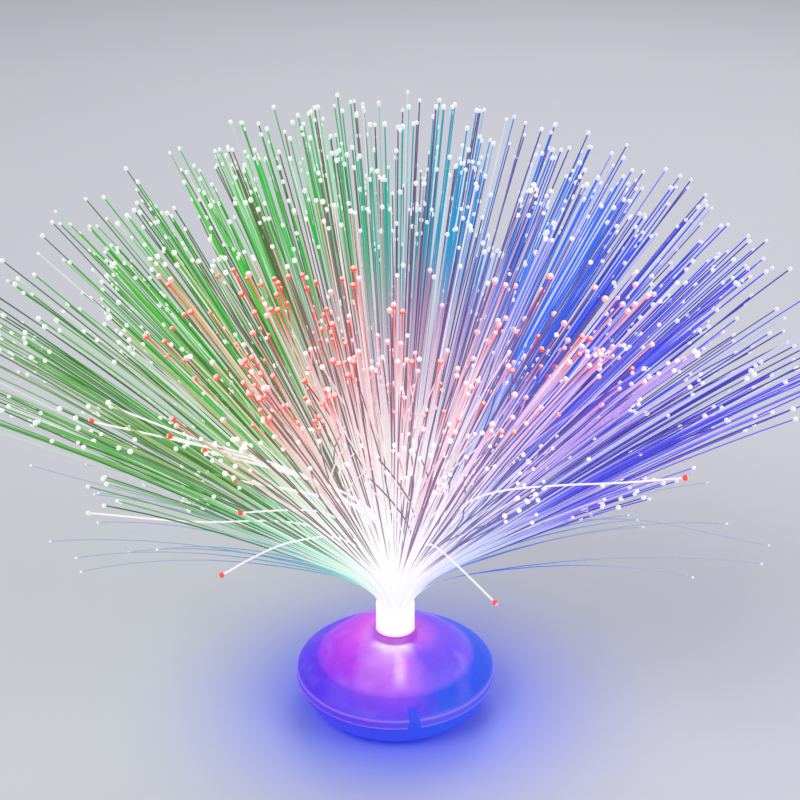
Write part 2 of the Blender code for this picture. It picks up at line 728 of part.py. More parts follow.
def contact(name, side, rows, tagged, finish):
    """A contact plate at one end of the bay, over one or two rows of cells, with a tag if asked."""
    low, high = min(rows) - CONTACT_WIDTH / 2, max(rows) + CONTACT_WIDTH / 2
    bottom, top = CELL_HEIGHT - CONTACT_DROP, CELL_HEIGHT + CONTACT_LIFT
    x = side * (CONTACT_FACE + CONTACT_THICKNESS / 2)
    size = (CONTACT_THICKNESS, high - low, top - bottom)
    plate = box(name, size, (x, (low + high) / 2, (bottom + top) / 2), finish)
    if tagged:
        tip = TRAY_TOP + CONTACT_TAG_RISE
        foot = CELL_HEIGHT
        tag = (CONTACT_THICKNESS, CONTACT_TAG_WIDTH, tip - foot)
        join(plate, box(f"{name} tag", tag, (x, rows[0], (tip + foot) / 2)))
    return plate


def screw(name, place, down, length, finish):
    """A pan-head screw whose head's underside is at the place, with its shank down or up."""
    outline = [
        (0.0, SCREW_HEAD_HEIGHT),
        (SCREW_HEAD_RADIUS - EDGE_ROUND, SCREW_HEAD_HEIGHT),
        (SCREW_HEAD_RADIUS, SCREW_HEAD_HEIGHT - EDGE_ROUND),
        (SCREW_HEAD_RADIUS, 0.0),
        (SCREW_RADIUS, 0.0),
        (SCREW_RADIUS, SCREW_RADIUS - length),
        (0.0, -length),
    ]
    frame = Matrix.Translation(place)
    if not down:
        frame = frame @ Matrix.Rotation(math.pi, 4, "X")
    return turned(name, outline, SCREW_STEPS, finish, frame)


def led_places():
    return [around(math.radians(150) + math.tau * i / 3, LED_CIRCLE, LED_BOTTOM) for i in range(3)]


def resistor_frames():
    """Chords of the board between the LEDs and its edge, clear of the two board screws."""
    turns = [math.radians(90), math.radians(-90), math.radians(-45)]
    return [turn_z(turn) @ Matrix.Translation((RESISTOR_CIRCLE, 0.0, BOARD_TOP)) for turn in turns]


def led_board(finish):
    board = cylinder("led_board", BOARD_RADIUS, BOARD_BOTTOM, BOARD_TOP, steps=BOARD_STEPS, finish=finish)
    low, high = BOARD_BOTTOM - OVERRUN, BOARD_TOP + OVERRUN
    for i, x in enumerate((-BOARD_SCREW_X, BOARD_SCREW_X)):
        cut(board, cylinder(f"board screw hole {i}", HOLE_RADIUS, low, high, (x, 0.0)))
    legs = [Vector((side * LED_LEG_SPACING / 2, 0.0, 0.0)) for side in (-1, 1)]
    drilled = [place + leg for place in led_places() for leg in legs]
    for frame in resistor_frames():
        drilled += [frame @ Vector((0.0, side * RESISTOR_SPAN / 2, 0.0)) for side in (-1, 1)]
    for i, place in enumerate(drilled):
        cut(board, cylinder(f"drill {i}", DRILL_RADIUS, low, high, place.xy, DRILL_STEPS))
    return board


def led(name, place, finish):
    """A round LED: flange, barrel and domed lens, on two legs that pass the board."""
    lens = arc((0.0, LED_HEIGHT), (LED_RADIUS, LED_HEIGHT - LED_RADIUS), LED_RADIUS * (1 - math.sqrt(0.5)), 3)
    outline = [
        *lens,
        (LED_RADIUS, LED_FLANGE),
        (LED_FLANGE_RADIUS, LED_FLANGE),
        (LED_FLANGE_RADIUS, 0.0),
        (0.0, 0.0),
    ]
    body = turned(name, outline, LED_STEPS, finish, Matrix.Translation(place))
    for side in (-1, 1):
        leg = (LED_LEG, LED_LEG, LED_LEG_LENGTH + LED_FLANGE / 2)
        leg_place = (side * LED_LEG_SPACING / 2, 0.0, (LED_FLANGE / 2 - LED_LEG_LENGTH) / 2)
        join(body, box(f"{name} leg {side}", leg, leg_place, frame=Matrix.Translation(place)))
    return body


def resistor(i, frame, finish):
    """A resistor across the board: its leads bend down through the board at both ends."""
    height = RESISTOR_RADIUS + GAP
    half, body = RESISTOR_SPAN / 2, RESISTOR_BODY / 2
    below = -BOARD_THICKNESS - DRILL_RADIUS
    thin = RESISTOR_LEAD / RESISTOR_RADIUS
    side = [
        (half, below, thin),
        (half, height - 2 * RESISTOR_LEAD, thin),
        (half - 2 * RESISTOR_LEAD, height, thin),
        (body, height, thin),
        (body - RESISTOR_LEAD, height, 1.0),
    ]
    stations = [*((-y, z, s) for y, z, s in side), *reversed(side)]
    points = [frame @ Vector((0.0, y, z)) for y, z, s in stations]
    return wire(f"resistor_{i + 1}", points, RESISTOR_RADIUS, 1, finish, [s for y, z, s in stations])


def ferrule(finish):
    bore = FERRULE_RADIUS - FERRULE_WALL
    outline = [
        (bore, FERRULE_TOP),
        (FERRULE_RADIUS - GAP, FERRULE_TOP),
        (FERRULE_RADIUS, FERRULE_TOP - GAP),
        (FERRULE_RADIUS, FERRULE_BOTTOM),
        (bore, FERRULE_BOTTOM),
    ]
    return turned("fibre_ferrule", outline, FERRULE_STEPS, finish)


def fibre_paths():
    """The bent line of each fibre, keyed by its slice of the plug.

    A fibre's place in the bundle fixes the way it leans, so that no two fibres cross: the
    further out it stands on one side, the further it leans to that side.
    """
    slices = {name: [] for name in ("right", "back", "left", "front")}
    reach = PLUG_RADIUS - SLICE_INSET - FIBRE_RADIUS - GAP
    for k in range(FIBRE_COUNT):
        share = math.sqrt((k + 0.5) / FIBRE_COUNT)
        angle = k * GOLDEN_ANGLE
        u, v = share * math.cos(angle), share * math.sin(angle)
        quarter = int(((angle + math.pi / 4) % math.tau) // (math.pi / 2))
        out = around(quarter * math.pi / 2, SLICE_INSET)
        root = Vector((reach * u, reach * v, PLUG_TOP)) + out
        lean, heading = fibre_way(*gathered(u, v))
        shortened = LENGTH_SPREAD_SHARE * (k * LENGTH_STRIDE_SHARE % 1.0) ** 2
        name = list(slices)[quarter]
        slices[name].append(fibre_points(root, lean, heading, FIBRE_LENGTH * (1 - shortened)))
    return slices


def gathered(u, v):
    """A place in the bundle, drawn towards its lock by three waves that keep the fibres in order."""
    x, y = u, v
    for turn, waves in zip(LOCK_TURNS, LOCK_WAVES):
        along = u * math.cos(turn) + v * math.sin(turn)
        shift = LOCK_PULL_SHARE / waves * math.sin(waves * along)
        x += shift * math.cos(turn)
        y += shift * math.sin(turn)
    return x, y


def fibre_way(u, v):
    """How far a fibre leans, and which way, by its place in the bundle."""
    share = math.hypot(u, v)
    power = LEAN_POWER + (FRONT_LEAN_POWER - LEAN_POWER) * max(-v / share, 0.0)
    lean = math.hypot(SIDE_SPREAD * u, FRONT_SPREAD * v) * share ** (power - 1)
    return lean, math.atan2(FRONT_SPREAD * v, SIDE_SPREAD * u)


def fibre_points(root, lean, heading, length):
    """Points along a fibre that leaves the plug tilted, flares out, then droops a little."""
    ahead = around(heading, 1.0)
    first = ROOT_TILT_SHARE * lean
    sunk = root - (ahead * math.sin(first) + Vector((0.0, 0.0, math.cos(first)))) * FIBRE_ROOT
    points, place, step = [sunk], root.copy(), length / PATH_STEPS
    stops = [round(share * PATH_STEPS) for share in BEND_SHARES]
    for i in range(PATH_STEPS):
        along = (i + 0.5) * step
        x = min(along / FIBRE_FLARE, 1.0)
        tilt = lean * (ROOT_TILT_SHARE + (1 - ROOT_TILT_SHARE) * (2 * x - x * x))
        tilt += DROOP * math.sin(lean) * (along / length) ** 2
        place += (ahead * math.sin(tilt) + Vector((0.0, 0.0, math.cos(tilt)))) * step
        if i + 1 in stops:
            points.append(place.copy())
    return points


def fibre_section():
    """The few-sided section that every fibre follows."""
    data = bpy.data.curves.new("fibre section", "CURVE")
    spline = data.splines.new("POLY")
    spline.points.add(FIBRE_SIDES - 1)
    for i in range(FIBRE_SIDES):
        spline.points[i].co = (*around(math.tau * i / FIBRE_SIDES, FIBRE_RADIUS), 1.0)
    spline.use_cyclic_u = True
    return add_object("fibre section", data)


def as_mesh(curve):
    """A curve object made a mesh, with its caps welded."""
    seen = curve.evaluated_get(bpy.context.evaluated_depsgraph_get())
    mesh = bpy.data.meshes.new_from_object(seen)
    shape = bmesh.new()
    shape.from_mesh(mesh)
    bmesh.ops.remove_doubles(shape, verts=shape.verts, dist=MERGE)
    bmesh.ops.recalc_face_normals(shape, faces=shape.faces)
    shape.to_mesh(mesh)
    shape.free()
    made = add_object(f"{curve.name} mesh", mesh, frame=curve.matrix_world.copy())
    bpy.data.objects.remove(curve, do_unlink=True)
    return made


def fibre_slice(name, heading, paths, section, finish):
    """A quarter of the potted plug with the fibres that rise from it."""
    data = bpy.data.curves.new(f"{name} strands", "CURVE")
    data.dimensions = "3D"
    data.bevel_mode = "OBJECT"
    data.bevel_object = section
    data.use_fill_caps = True
    for path in paths:
        spline = data.splines.new("POLY")
        spline.points.add(len(path) - 1)
        for i, point in enumerate(path):
            spline.points[i].co = (*point, 1.0)
    strands = as_mesh(add_object(f"{name} strands", data))
    edge = math.pi / 4 - math.asin(GAP / 2 / PLUG_RADIUS)
    corner = (GAP / math.sqrt(2), 0.0)
    rim = [around(edge * (2 * i / PLUG_STEPS - 1), PLUG_RADIUS).xy for i in range(PLUG_STEPS + 1)]
    plug = prism(name, [corner, *rim], FERRULE_BOTTOM, PLUG_TOP, finish, turn_z(heading))
    join(plug, strands)
    return plug


def switch(body_finish, slider_finish):
    top = -(WALL + SWITCH_SEAT)
    body = box(
        "switch_body",
        (SWITCH_LENGTH, SWITCH_WIDTH, SWITCH_DEPTH),
        (0.0, 0.0, top - SWITCH_DEPTH / 2),
        body_finish,
        SWITCH_FRAME,
    )
    pocket = (SLIDER_TRAVEL + SLIDER_LENGTH + 2 * GAP, SLIDER_WIDTH + 2 * GAP, 2 * SLIDER_POCKET)
    cut(body, box("slider pocket", pocket, (0.0, 0.0, top), frame=SWITCH_FRAME))
    low, high = top - SLIDER_SUNK, SLIDER_PROUD
    stem = (SLIDER_LENGTH, SLIDER_WIDTH, high - low)
    slider = box("switch_slider", stem, (SLIDER_TRAVEL / 2, 0.0, (low + high) / 2), slider_finish, SWITCH_FRAME)
    pitch = SLIDER_LENGTH / SLIDER_RIBS
    groove = (SLIDER_GROOVE, SLIDER_WIDTH + OVERRUN, 2 * SLIDER_GROOVE)
    for i in range(1, SLIDER_RIBS):
        x = (SLIDER_TRAVEL - SLIDER_LENGTH) / 2 + i * pitch
        cut(slider, box(f"grip groove {i}", groove, (x, 0.0, high), frame=SWITCH_FRAME))


def lead(name, route, finish):
    return wire(name, smooth_route(route, LEAD_POINTS), LEAD_RADIUS, 2, finish)


def leads(red, black):
    """Three leads: positive tag to switch, switch to board, and board to negative tag."""
    (plus_x, plus_y), (minus_x, minus_y) = tag_places()
    tag_height = TRAY_TOP + CONTACT_TAG_RISE / 2 + LEAD_RADIUS / 2
    clear = CONTACT_THICKNESS / 2 + GAP
    back = -(WALL + SWITCH_SEAT + SWITCH_DEPTH + GAP)
    right_pin = SWITCH_FRAME @ Vector((SWITCH_LENGTH / 4, 0.0, back))
    left_pin = SWITCH_FRAME @ Vector((-SWITCH_LENGTH / 4, 0.0, back))
    inward = SWITCH_FRAME.to_3x3() @ Vector((0.0, 0.0, -3 * LEAD_RADIUS))
    lead(
        "lead_positive",
        [
            (plus_x + clear, plus_y, tag_height),
            (plus_x + 4 * clear, plus_y + LEAD_RADIUS, tag_height),
            (0.0245, 0.0195, 0.0168),
            (0.0165, 0.0285, 0.0152),
            (0.0065, 0.0318, 0.0146),
            right_pin + 2 * inward,
            right_pin,
        ],
        red,
    )
    board_back = (-BOARD_RADIUS - GAP, 0.0052, BOARD_TOP - BOARD_THICKNESS / 2)
    lead(
        "lead_switch",
        [
            left_pin,
            left_pin + 2 * inward,
            (-0.0065, 0.0318, 0.0146),
            (-0.0152, 0.0292, 0.0152),
            (-0.0222, 0.0225, 0.0168),
            (-0.0232, 0.0115, 0.0188),
            board_back,
        ],
        red,
    )
    board_front = (-BOARD_RADIUS - GAP, -0.0052, BOARD_TOP - BOARD_THICKNESS / 2)
    lead(
        "lead_negative",
        [
            board_front,
            (-0.0212, -0.0062, 0.0196),
            (-0.0262, -0.0082, 0.0192),
            (minus_x - 4 * clear, minus_y + LEAD_RADIUS, tag_height),
            (minus_x - clear, minus_y, tag_height),
        ],
        black,
    )


def build():
    glow_plastic = material("glow_plastic", (0.45, 0.22, 0.95), 0.35, glow=0.15)
    blue_plastic = material("blue_plastic", (0.13, 0.22, 0.95), 0.35, glow=0.15)
    clear_plastic = material("clear_plastic", (0.9, 0.9, 0.95), 0.15)
    white_plastic = material("white_plastic", (0.85, 0.86, 0.88), 0.5)
    black_plastic = material("black_plastic", (0.03, 0.03, 0.035), 0.45)
    nickel = material("nickel", (0.75, 0.74, 0.7), 0.3, 1.0)
    screw_steel = material("screw_steel", (0.6, 0.6, 0.62), 0.35, 1.0)
    cell_wrap = material("cell_wrap", (0.08, 0.22, 0.16), 0.35)
    board_green = material("board_green", (0.05, 0.3, 0.12), 0.4)
    resistor_tan = material("resistor_tan", (0.72, 0.6, 0.42), 0.5)
    red_lead = material("red_lead", (0.7, 0.04, 0.03), 0.5)
    black_lead = material("black_lead", (0.02, 0.02, 0.02), 0.5)

    upper_shell(glow_plastic)
    lower_shell(blue_plastic)
    battery_cover(blue_plastic)
    battery_tray(white_plastic)

    for i in range(CELL_COUNT):
        cell(i, cell_wrap)
        cell_spring(i, nickel)
    contact("contact_positive", 1, [ROWS[2]], True, nickel)
    contact("contact_link_left", -1, [ROWS[1], ROWS[2]], False, nickel)
    contact("contact_link_right", 1, [ROWS[0], ROWS[1]], False, nickel)
    contact("contact_negative", -1, [ROWS[0]], True, nickel)

    for i, (x, y) in enumerate(shell_screw_places()):
        screw(f"shell_screw_{i + 1}", (x, y, PLATE_BOTTOM - GAP), False, SHELL_SCREW_LENGTH, screw_steel)
    for i, y in enumerate((-EAR_SCREW_Y, EAR_SCREW_Y)):
        seat = EAR_POST_TOP + GAP + EAR_THICKNESS + GAP
        screw(f"tray_screw_{i + 1}", (0.0, y, seat), True, SHORT_SCREW_LENGTH, screw_steel)
    for i, x in enumerate((-BOARD_SCREW_X, BOARD_SCREW_X)):
        screw(f"board_screw_{i + 1}", (x, 0.0, BOARD_TOP + GAP), True, SHORT_SCREW_LENGTH, screw_steel)

    led_board(board_green)
    colours = {"led_green": (0.1, 0.9, 0.2), "led_red": (0.95, 0.1, 0.1), "led_blue": (0.1, 0.25, 1.0)}
    for (name, colour), place in zip(colours.items(), led_places()):
        led(name, place, material(name, colour, 0.15, glow=1.0))
    for i, frame in enumerate(resistor_frames()):
        resistor(i, frame, resistor_tan)
    switch(nickel, black_plastic)
    leads(red_lead, black_lead)

    ferrule(clear_plastic)
    section = fibre_section()
    tints = {
        "right": (0.35, 0.5, 1.0),
        "back": (0.3, 0.85, 0.85),
        "left": (0.4, 0.9, 0.35),
        "front": (1.0, 0.5, 0.55),
    }
    for i, (side, paths) in enumerate(fibre_paths().items()):
        tint = material(f"fibre_{side}", tints[side], 0.2, glow=0.6)
        fibre_slice(f"fibres_{side}", i * math.pi / 2, paths, section, tint)


build()
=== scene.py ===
"""Looks of a battery-powered fibre optic lamp, lit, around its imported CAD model.

The CAD's four slices of the light bundle are replaced by fuller ones: the CAD's own fibres, made
rounder, with more between them that lie in locks and cross a little, and a bright tip on each. The
shells and everything in them keep their CAD shape and get procedural materials. Lengths are in
metres, and the lamp's front faces -Y.
"""

import math

import bpy
import numpy as np
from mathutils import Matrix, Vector

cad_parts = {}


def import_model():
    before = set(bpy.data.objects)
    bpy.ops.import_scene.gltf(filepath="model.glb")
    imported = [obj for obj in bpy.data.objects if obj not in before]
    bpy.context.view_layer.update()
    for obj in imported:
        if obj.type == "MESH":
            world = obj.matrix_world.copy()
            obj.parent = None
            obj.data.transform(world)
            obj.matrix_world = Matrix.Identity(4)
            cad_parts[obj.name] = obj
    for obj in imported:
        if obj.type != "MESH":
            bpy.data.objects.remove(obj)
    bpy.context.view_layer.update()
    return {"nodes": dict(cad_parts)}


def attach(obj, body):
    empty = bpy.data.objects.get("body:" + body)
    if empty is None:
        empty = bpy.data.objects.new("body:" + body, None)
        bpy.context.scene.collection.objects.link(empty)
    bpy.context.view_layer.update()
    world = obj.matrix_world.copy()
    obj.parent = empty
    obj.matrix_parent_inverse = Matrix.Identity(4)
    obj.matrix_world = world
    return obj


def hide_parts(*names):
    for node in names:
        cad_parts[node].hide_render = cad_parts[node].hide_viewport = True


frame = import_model()

# Camera, from the ellipses of the base in the photo
CAMERA_PLACE = (0.0021, -0.577, 0.408)
CAMERA_PITCH = math.radians(24.09)
CAMERA_LENS = 67.5
SENSOR_WIDTH = 36.0
PHOTO_WIDTH = 800
# The pitch at which the pixels of the stray fibres were read, a little less than the camera's
STRAY_PITCH = math.radians(23.94)

# Bundle
SEED = 7
SLICES = ("right", "back", "left", "front")
FORM_COUNT = 348
LOCK_COUNT = 200
LOCK_FIBRES = 7
FRONT_LOCK_COUNT = 44
FRONT_LOCK_FIBRES = 5
LOCK_SPREAD = 0.02
LOCK_DRIFT = 0.03
LOCK_LENGTH_SPREAD_SHARE = 0.14
LOCK_BOW, LOCK_UNREST, LOCK_CROSSING = 0.06, 0.03, 0.05
FRONT_LOCK_BOW, FRONT_LOCK_UNREST, FRONT_LOCK_CROSSING = 0.4, 0.2, 0.25
LOW_COUNT = 22
LOW_LEAN = math.radians(61)
LOW_DROOP = 3.2
LOW_TIP_SHARE = 0.55
ROOT_RADIUS = 0.00023
FIBRE_RADIUS = 0.00029
STRAY_RADIUS = 0.0004
FIBRE_SIDES = 6
TIP_RADIUS = 0.00098
COLOURED_TIP_SHARE = 1.2
# A tip's rings: how far past the fibre's end and how wide, in tip radii, and their place in the UVs
TIP_RINGS = ((0.3, 0.74, 1.05), (0.85, 1.0, 1.3), (1.45, 0.88, 1.7), (1.85, 0.45, 2.0))
PLUG_RADIUS = 0.0078
PLUG_HALF_CUT = 0.00015
PLUG_CORNER = 0.0003
PLUG_CHAMFER = 0.0004
PLUG_TOP_SHARE = 0.96
PLUG_ARC_STEPS = 12
PLUG_BOTTOM = 0.0315
PLUG_TOP = 0.0515
PLUG_INSET = 0.0006
FIBRE_REACH = 0.00667
FIBRE_ROOT = 0.0008
FIBRE_LENGTH = 0.222
LENGTH_SPREAD_SHARE = 0.5
LENGTH_STRIDE_SHARE = 0.7549
FIBRE_FLARE = 0.045
SIDE_SPREAD = math.radians(59)
FRONT_SPREAD = math.radians(43)
LEAN_POWER = 1.35
FRONT_LEAN_POWER = 1.0
LOCK_TURNS = (math.radians(20), math.radians(80), math.radians(140))
LOCK_WAVES = (17.0, 29.0, 22.0)
LOCK_PULL_SHARE = 0.32
DROOP = math.radians(8)
ROOT_TILT_SHARE = 0.45
GOLDEN_ANGLE = math.pi * (3.0 - math.sqrt(5.0))
PATH_STEPS = 160
# Shares of a fibre's length at which it has a ring. It swells up to its own radius by SWELL_SHARE.
STATION_SHARES = (0, 0.03, 0.06, 0.09, 0.12, 0.16, 0.2, 0.24, 0.3, 0.4, 0.52, 0.64, 0.76, 0.87, 0.94, 1.0)
STRAY_SHARES = [i / 30 for i in range(31)]
SWELL_SHARE = 0.2

# Fibres that have strayed from the spray: the slice that they rise from, the kind of tip, and the
# points that they pass, each as the photo's pixel across and down and its depth along Y in mm
STRAYS = {
    "curl": (
        "front", "red", (352, 548, -45), (322, 540, -62), (285, 547, -64), (250, 563, -62), (225, 578, -60),
    ),
    "drop": ("front", "red", (425, 548, -45), (441, 555, -62), (465, 577, -72), (492, 605, -80)),
    "short_left": ("front", "red", (345, 528, -50), (310, 515, -70), (275, 515, -72), (243, 517, -70)),
    "long_right": (
        "front", "red", (450, 520, -50), (500, 495, -75), (560, 489, -80), (620, 486, -80), (683, 483, -80),
    ),
    "upper_left": ("front", "white", (350, 505, -50), (280, 470, -70), (190, 440, -80), (115, 412, -80)),
    "long_left": ("front", "red", (350, 500, -50), (270, 468, -60), (180, 445, -65), (94, 427, -65)),
    "inner_1": ("front", "red", (350, 510, -60), (300, 495, -74), (237, 484, -80)),
    "inner_2": ("front", "white", (355, 508, -60), (305, 495, -76), (256, 486, -84)),
    "inner_3": ("front", "red", (350, 500, -60), (280, 475, -74), (207, 455, -80)),
    "inner_4": ("front", "white", (352, 500, -60), (285, 475, -76), (216, 457, -84)),
    "inner_5": ("front", "red", (350, 500, -60), (280, 472, -72), (174, 441, -76)),
    "low_left": ("front", "white", (345, 540, -40), (290, 527, -50), (200, 525, -50), (92, 517, -50)),
    "faint_right": ("right", "dim", (603, 523, 0), (768, 549, 0)),
    "faint_left": ("left", "dim", (229, 525, 0), (32, 469, 0)),
}


def srgb(red, green, blue):
    """A colour written in the screen's 0 to 255, as the linear values that shaders take."""
    parts = [c / 255 for c in (red, green, blue)]
    return (*[c / 12.92 if c <= 0.04045 else ((c + 0.055) / 1.055) ** 2.4 for c in parts], 1.0)


class Tree:
    """A procedural material, with short names for the nodes that it is made of."""

    def __init__(self, name, **plain):
        self.material = bpy.data.materials.new(name)
        self.material.use_nodes = True
        self.nodes = self.material.node_tree.nodes
        self.links = self.material.node_tree.links
        self.shader = self.nodes["Principled BSDF"]
        self.place = self.nodes.new("ShaderNodeTexCoord").outputs["Object"]
        for key, value in plain.items():
            self.set(key.replace("_", " ").title(), value)

    def feed(self, socket, value):
        if isinstance(value, bpy.types.NodeSocket):
            self.links.new(value, socket)
        elif value is not None:
            socket.default_value = value

    def set(self, socket, value):
        self.feed(self.shader.inputs[socket.replace("Ior", "IOR")], value)

    def math(self, operation, *values):
        node = self.nodes.new("ShaderNodeMath")
        node.operation = operation
        for socket, value in zip(node.inputs, values):
            self.feed(socket, value)
        return node.outputs[0]

    def vector(self, operation, *values, out="Vector"):
        node = self.nodes.new("ShaderNodeVectorMath")
        node.operation = operation
        for socket, value in zip(node.inputs, values):
            self.feed(socket, value)
        return node.outputs[out]

    def scale(self, vector, share):
        node = self.nodes.new("ShaderNodeVectorMath")
        node.operation = "SCALE"
        self.feed(node.inputs[0], vector)
        self.feed(node.inputs["Scale"], share)
        return node.outputs["Vector"]

    def split(self, vector):
        node = self.nodes.new("ShaderNodeSeparateXYZ")
        self.feed(node.inputs[0], vector)
        return node.outputs

    def smooth(self, value, low, high, start=0.0, end=1.0):
        node = self.nodes.new("ShaderNodeMapRange")
        node.interpolation_type = "SMOOTHSTEP"
        for socket, number in zip(node.inputs, (value, low, high, start, end)):
            self.feed(socket, number)
        return node.outputs["Result"]

    def mix(self, share, a, b, blend="MIX"):
        node = self.nodes.new("ShaderNodeMix")
        node.data_type = "RGBA"
        node.blend_type = blend
        self.feed(node.inputs[0], share)
        self.feed(node.inputs[6], a)
        self.feed(node.inputs[7], b)
        return node.outputs[2]

    def ramp(self, value, *stops):
        node = self.nodes.new("ShaderNodeValToRGB")
        elements = node.color_ramp.elements
        while len(elements) < len(stops):
            elements.new(1.0)
        for element, (place, colour) in zip(elements, stops):
            element.position = place
            element.color = colour
        self.feed(node.inputs[0], value)
        return node.outputs["Color"]

    def noise(self, scale, detail=2.0, roughness=0.5, place=None):
        node = self.nodes.new("ShaderNodeTexNoise")
        self.feed(node.inputs["Vector"], place or self.place)
        self.feed(node.inputs["Scale"], scale)
        self.feed(node.inputs["Detail"], detail)
        self.feed(node.inputs["Roughness"], roughness)
        return node.outputs["Fac"]

    def bump(self, height, strength, distance):
        node = self.nodes.new("ShaderNodeBump")
        self.feed(node.inputs["Height"], height)
        self.feed(node.inputs["Strength"], strength)
        self.feed(node.inputs["Distance"], distance)
        self.set("Normal", node.outputs[0])

    def glow(self, colour, lit, strength):
        """The surface shows the colour, partly by its own light and partly by the studio's."""
        self.set("Base Color", self.scale(colour, lit))
        self.set("Emission Color", colour)
        self.set("Emission Strength", strength)


# Light bundle


def fibre_colour(tree):
    """The colours at a place in the spray, by the way that it lies from the collar: as the strand
    shows it, as its tip has it and as painted shade darkens a strand, and how far the place is."""
    away = tree.vector("SUBTRACT", tree.place, (0.0, 0.0, 0.045))
    far = tree.vector("LENGTH", away, out="Value")
    x, y, z = tree.split(tree.vector("NORMALIZE", away))
    side = tree.math("MULTIPLY_ADD", x, 0.5, 0.5)
    around = tree.ramp(
        side,
        (0.06, srgb(150, 176, 122)),
        (0.18, srgb(76, 188, 54)),
        (0.32, srgb(60, 205, 45)),
        (0.44, srgb(35, 190, 95)),
        (0.53, srgb(35, 170, 190)),
        (0.63, srgb(50, 140, 245)),
        (0.76, srgb(60, 85, 250)),
        (0.94, srgb(95, 80, 235)),
    )
    front = tree.ramp(
        side,
        (0.06, srgb(120, 165, 120)),
        (0.25, srgb(96, 190, 76)),
        (0.35, srgb(236, 206, 180)),
        (0.43, srgb(255, 186, 176)),
        (0.56, srgb(255, 196, 214)),
        (0.66, srgb(236, 190, 250)),
        (0.8, srgb(135, 115, 250)),
        (0.95, srgb(95, 90, 240)),
    )
    inner = tree.smooth(tree.math("ABSOLUTE", x), 0.16, 0.42, 0.75, 0.0)
    inner = tree.math("MULTIPLY", inner, tree.smooth(far, 0.13, 0.18, 1.0, 0.0))
    around = tree.mix(inner, around, srgb(206, 150, 204))
    hue = tree.mix(tree.smooth(tree.math("MULTIPLY", y, -1.0), 0.14, 0.42), around, front)
    hot = tree.ramp(
        side,
        (0.08, srgb(120, 240, 215)),
        (0.24, srgb(205, 255, 228)),
        (0.36, srgb(252, 253, 250)),
        (0.62, srgb(255, 250, 255)),
        (0.76, srgb(212, 224, 255)),
        (0.92, srgb(130, 165, 255)),
    )
    hot = tree.mix(tree.smooth(far, 0.012, 0.03), srgb(255, 253, 255), hot)
    wide = tree.smooth(tree.math("ABSOLUTE", x), 0.1, 0.75)
    near = tree.smooth(tree.math("MULTIPLY", y, -1.0), -0.2, 0.5)
    reach = tree.math("MULTIPLY_ADD", wide, -0.058, tree.math("MULTIPLY_ADD", near, 0.034, 0.132))
    share = tree.smooth(tree.math("DIVIDE", far, reach), 0.45, 1.2)
    # Painted shade: dark colours for some strands, standing in for the shaded gaps and depth of the spray.
    shade = tree.ramp(
        side,
        (0.1, srgb(84, 116, 80)),
        (0.28, srgb(58, 112, 52)),
        (0.42, srgb(124, 78, 90)),
        (0.55, srgb(122, 70, 132)),
        (0.68, srgb(74, 72, 176)),
        (0.9, srgb(66, 62, 176)),
    )
    return tree.mix(share, hot, hue), hue, shade, far


def fibre_material():
    tree = Tree("fibre_strand", roughness=0.25, specular_ior_level=0.3)
    colour, _, shade, far = fibre_colour(tree)
    strand = tree.nodes.new("ShaderNodeUVMap")
    strand.uv_map = "strand"
    kind, along, _ = tree.split(strand.outputs[0])
    chance = tree.math("FRACT", kind)
    pale = tree.smooth(chance, 0.62, 1.0, 0.0, 0.8)
    colour = tree.mix(pale, colour, srgb(250, 244, 252))
    for sort, tint, start in ((1, srgb(255, 96, 74), 0.88), (2, srgb(255, 160, 178), 0.9)):
        same = tree.math("COMPARE", tree.math("FLOOR", kind), float(sort), 0.5)
        colour = tree.mix(tree.math("MULTIPLY", same, tree.smooth(along, start, 0.99)), colour, tint)
    low = tree.math("COMPARE", tree.math("FLOOR", kind), 3.0, 0.5)
    side = tree.split(tree.place)[0]
    low_hue = tree.mix(tree.smooth(side, -0.02, 0.02), srgb(96, 170, 206), srgb(84, 122, 240))
    low_hue = tree.mix(tree.smooth(far, 0.07, 0.12), low_hue, srgb(176, 182, 212))
    colour = tree.mix(tree.math("MULTIPLY", low, tree.smooth(far, 0.01, 0.06)), colour, low_hue)
    far_share = tree.smooth(far, 0.035, 0.085)
    other = tree.math("FRACT", tree.math("MULTIPLY", chance, 7.3))
    plain = tree.math("LESS_THAN", kind, 2.9999)
    # Painted shade: about three in ten plain strands away from the collar are darkened towards the painted
    # shade colours.
    painted_shade_share = tree.math("MULTIPLY", far_share, plain)
    painted_shade_share = tree.math("MULTIPLY", painted_shade_share, tree.smooth(other, 0.3, 0.36, 0.85, 0.0))
    colour = tree.mix(painted_shade_share, colour, shade)
    dim = tree.mix(far_share, (1.0, 1.0, 1.0, 1.0), tree.math("MULTIPLY_ADD", other, 0.3, 0.76))
    stray = tree.math("COMPARE", tree.math("FLOOR", kind), 4.0, 0.5)
    colour = tree.mix(stray, colour, srgb(255, 250, 253))
    dim = tree.math("MAXIMUM", dim, tree.math("MAXIMUM", stray, tree.smooth(along, 0.93, 0.99)))
    grain = tree.math("MULTIPLY_ADD", tree.noise(900.0, 1.0), 0.2, 0.9)
    colour = tree.scale(colour, tree.math("MULTIPLY", dim, grain))
    tree.glow(colour, 0.25, 0.78)
    tree.material.cycles.emission_sampling = "NONE"
    return tree.material


def tip_material(name, tint, share, core):
    """The bead at a fibre's end, brightest on the end face where the light leaves it."""
    tree = Tree(name, roughness=0.2)
    hue = fibre_colour(tree)[1]
    strand = tree.nodes.new("ShaderNodeUVMap")
    strand.uv_map = "strand"
    along = tree.split(strand.outputs[0])[1]
    lifted = tree.mix(tree.smooth(along, 1.62, 1.9), tree.mix(share, hue, tint), core)
    grain = tree.math("MULTIPLY_ADD", tree.noise(1500.0, 1.0), 0.12, 0.94)
    tree.glow(tree.scale(lifted, grain), 0.15, 0.9)
    tree.material.cycles.emission_sampling = "NONE"
    return tree.material


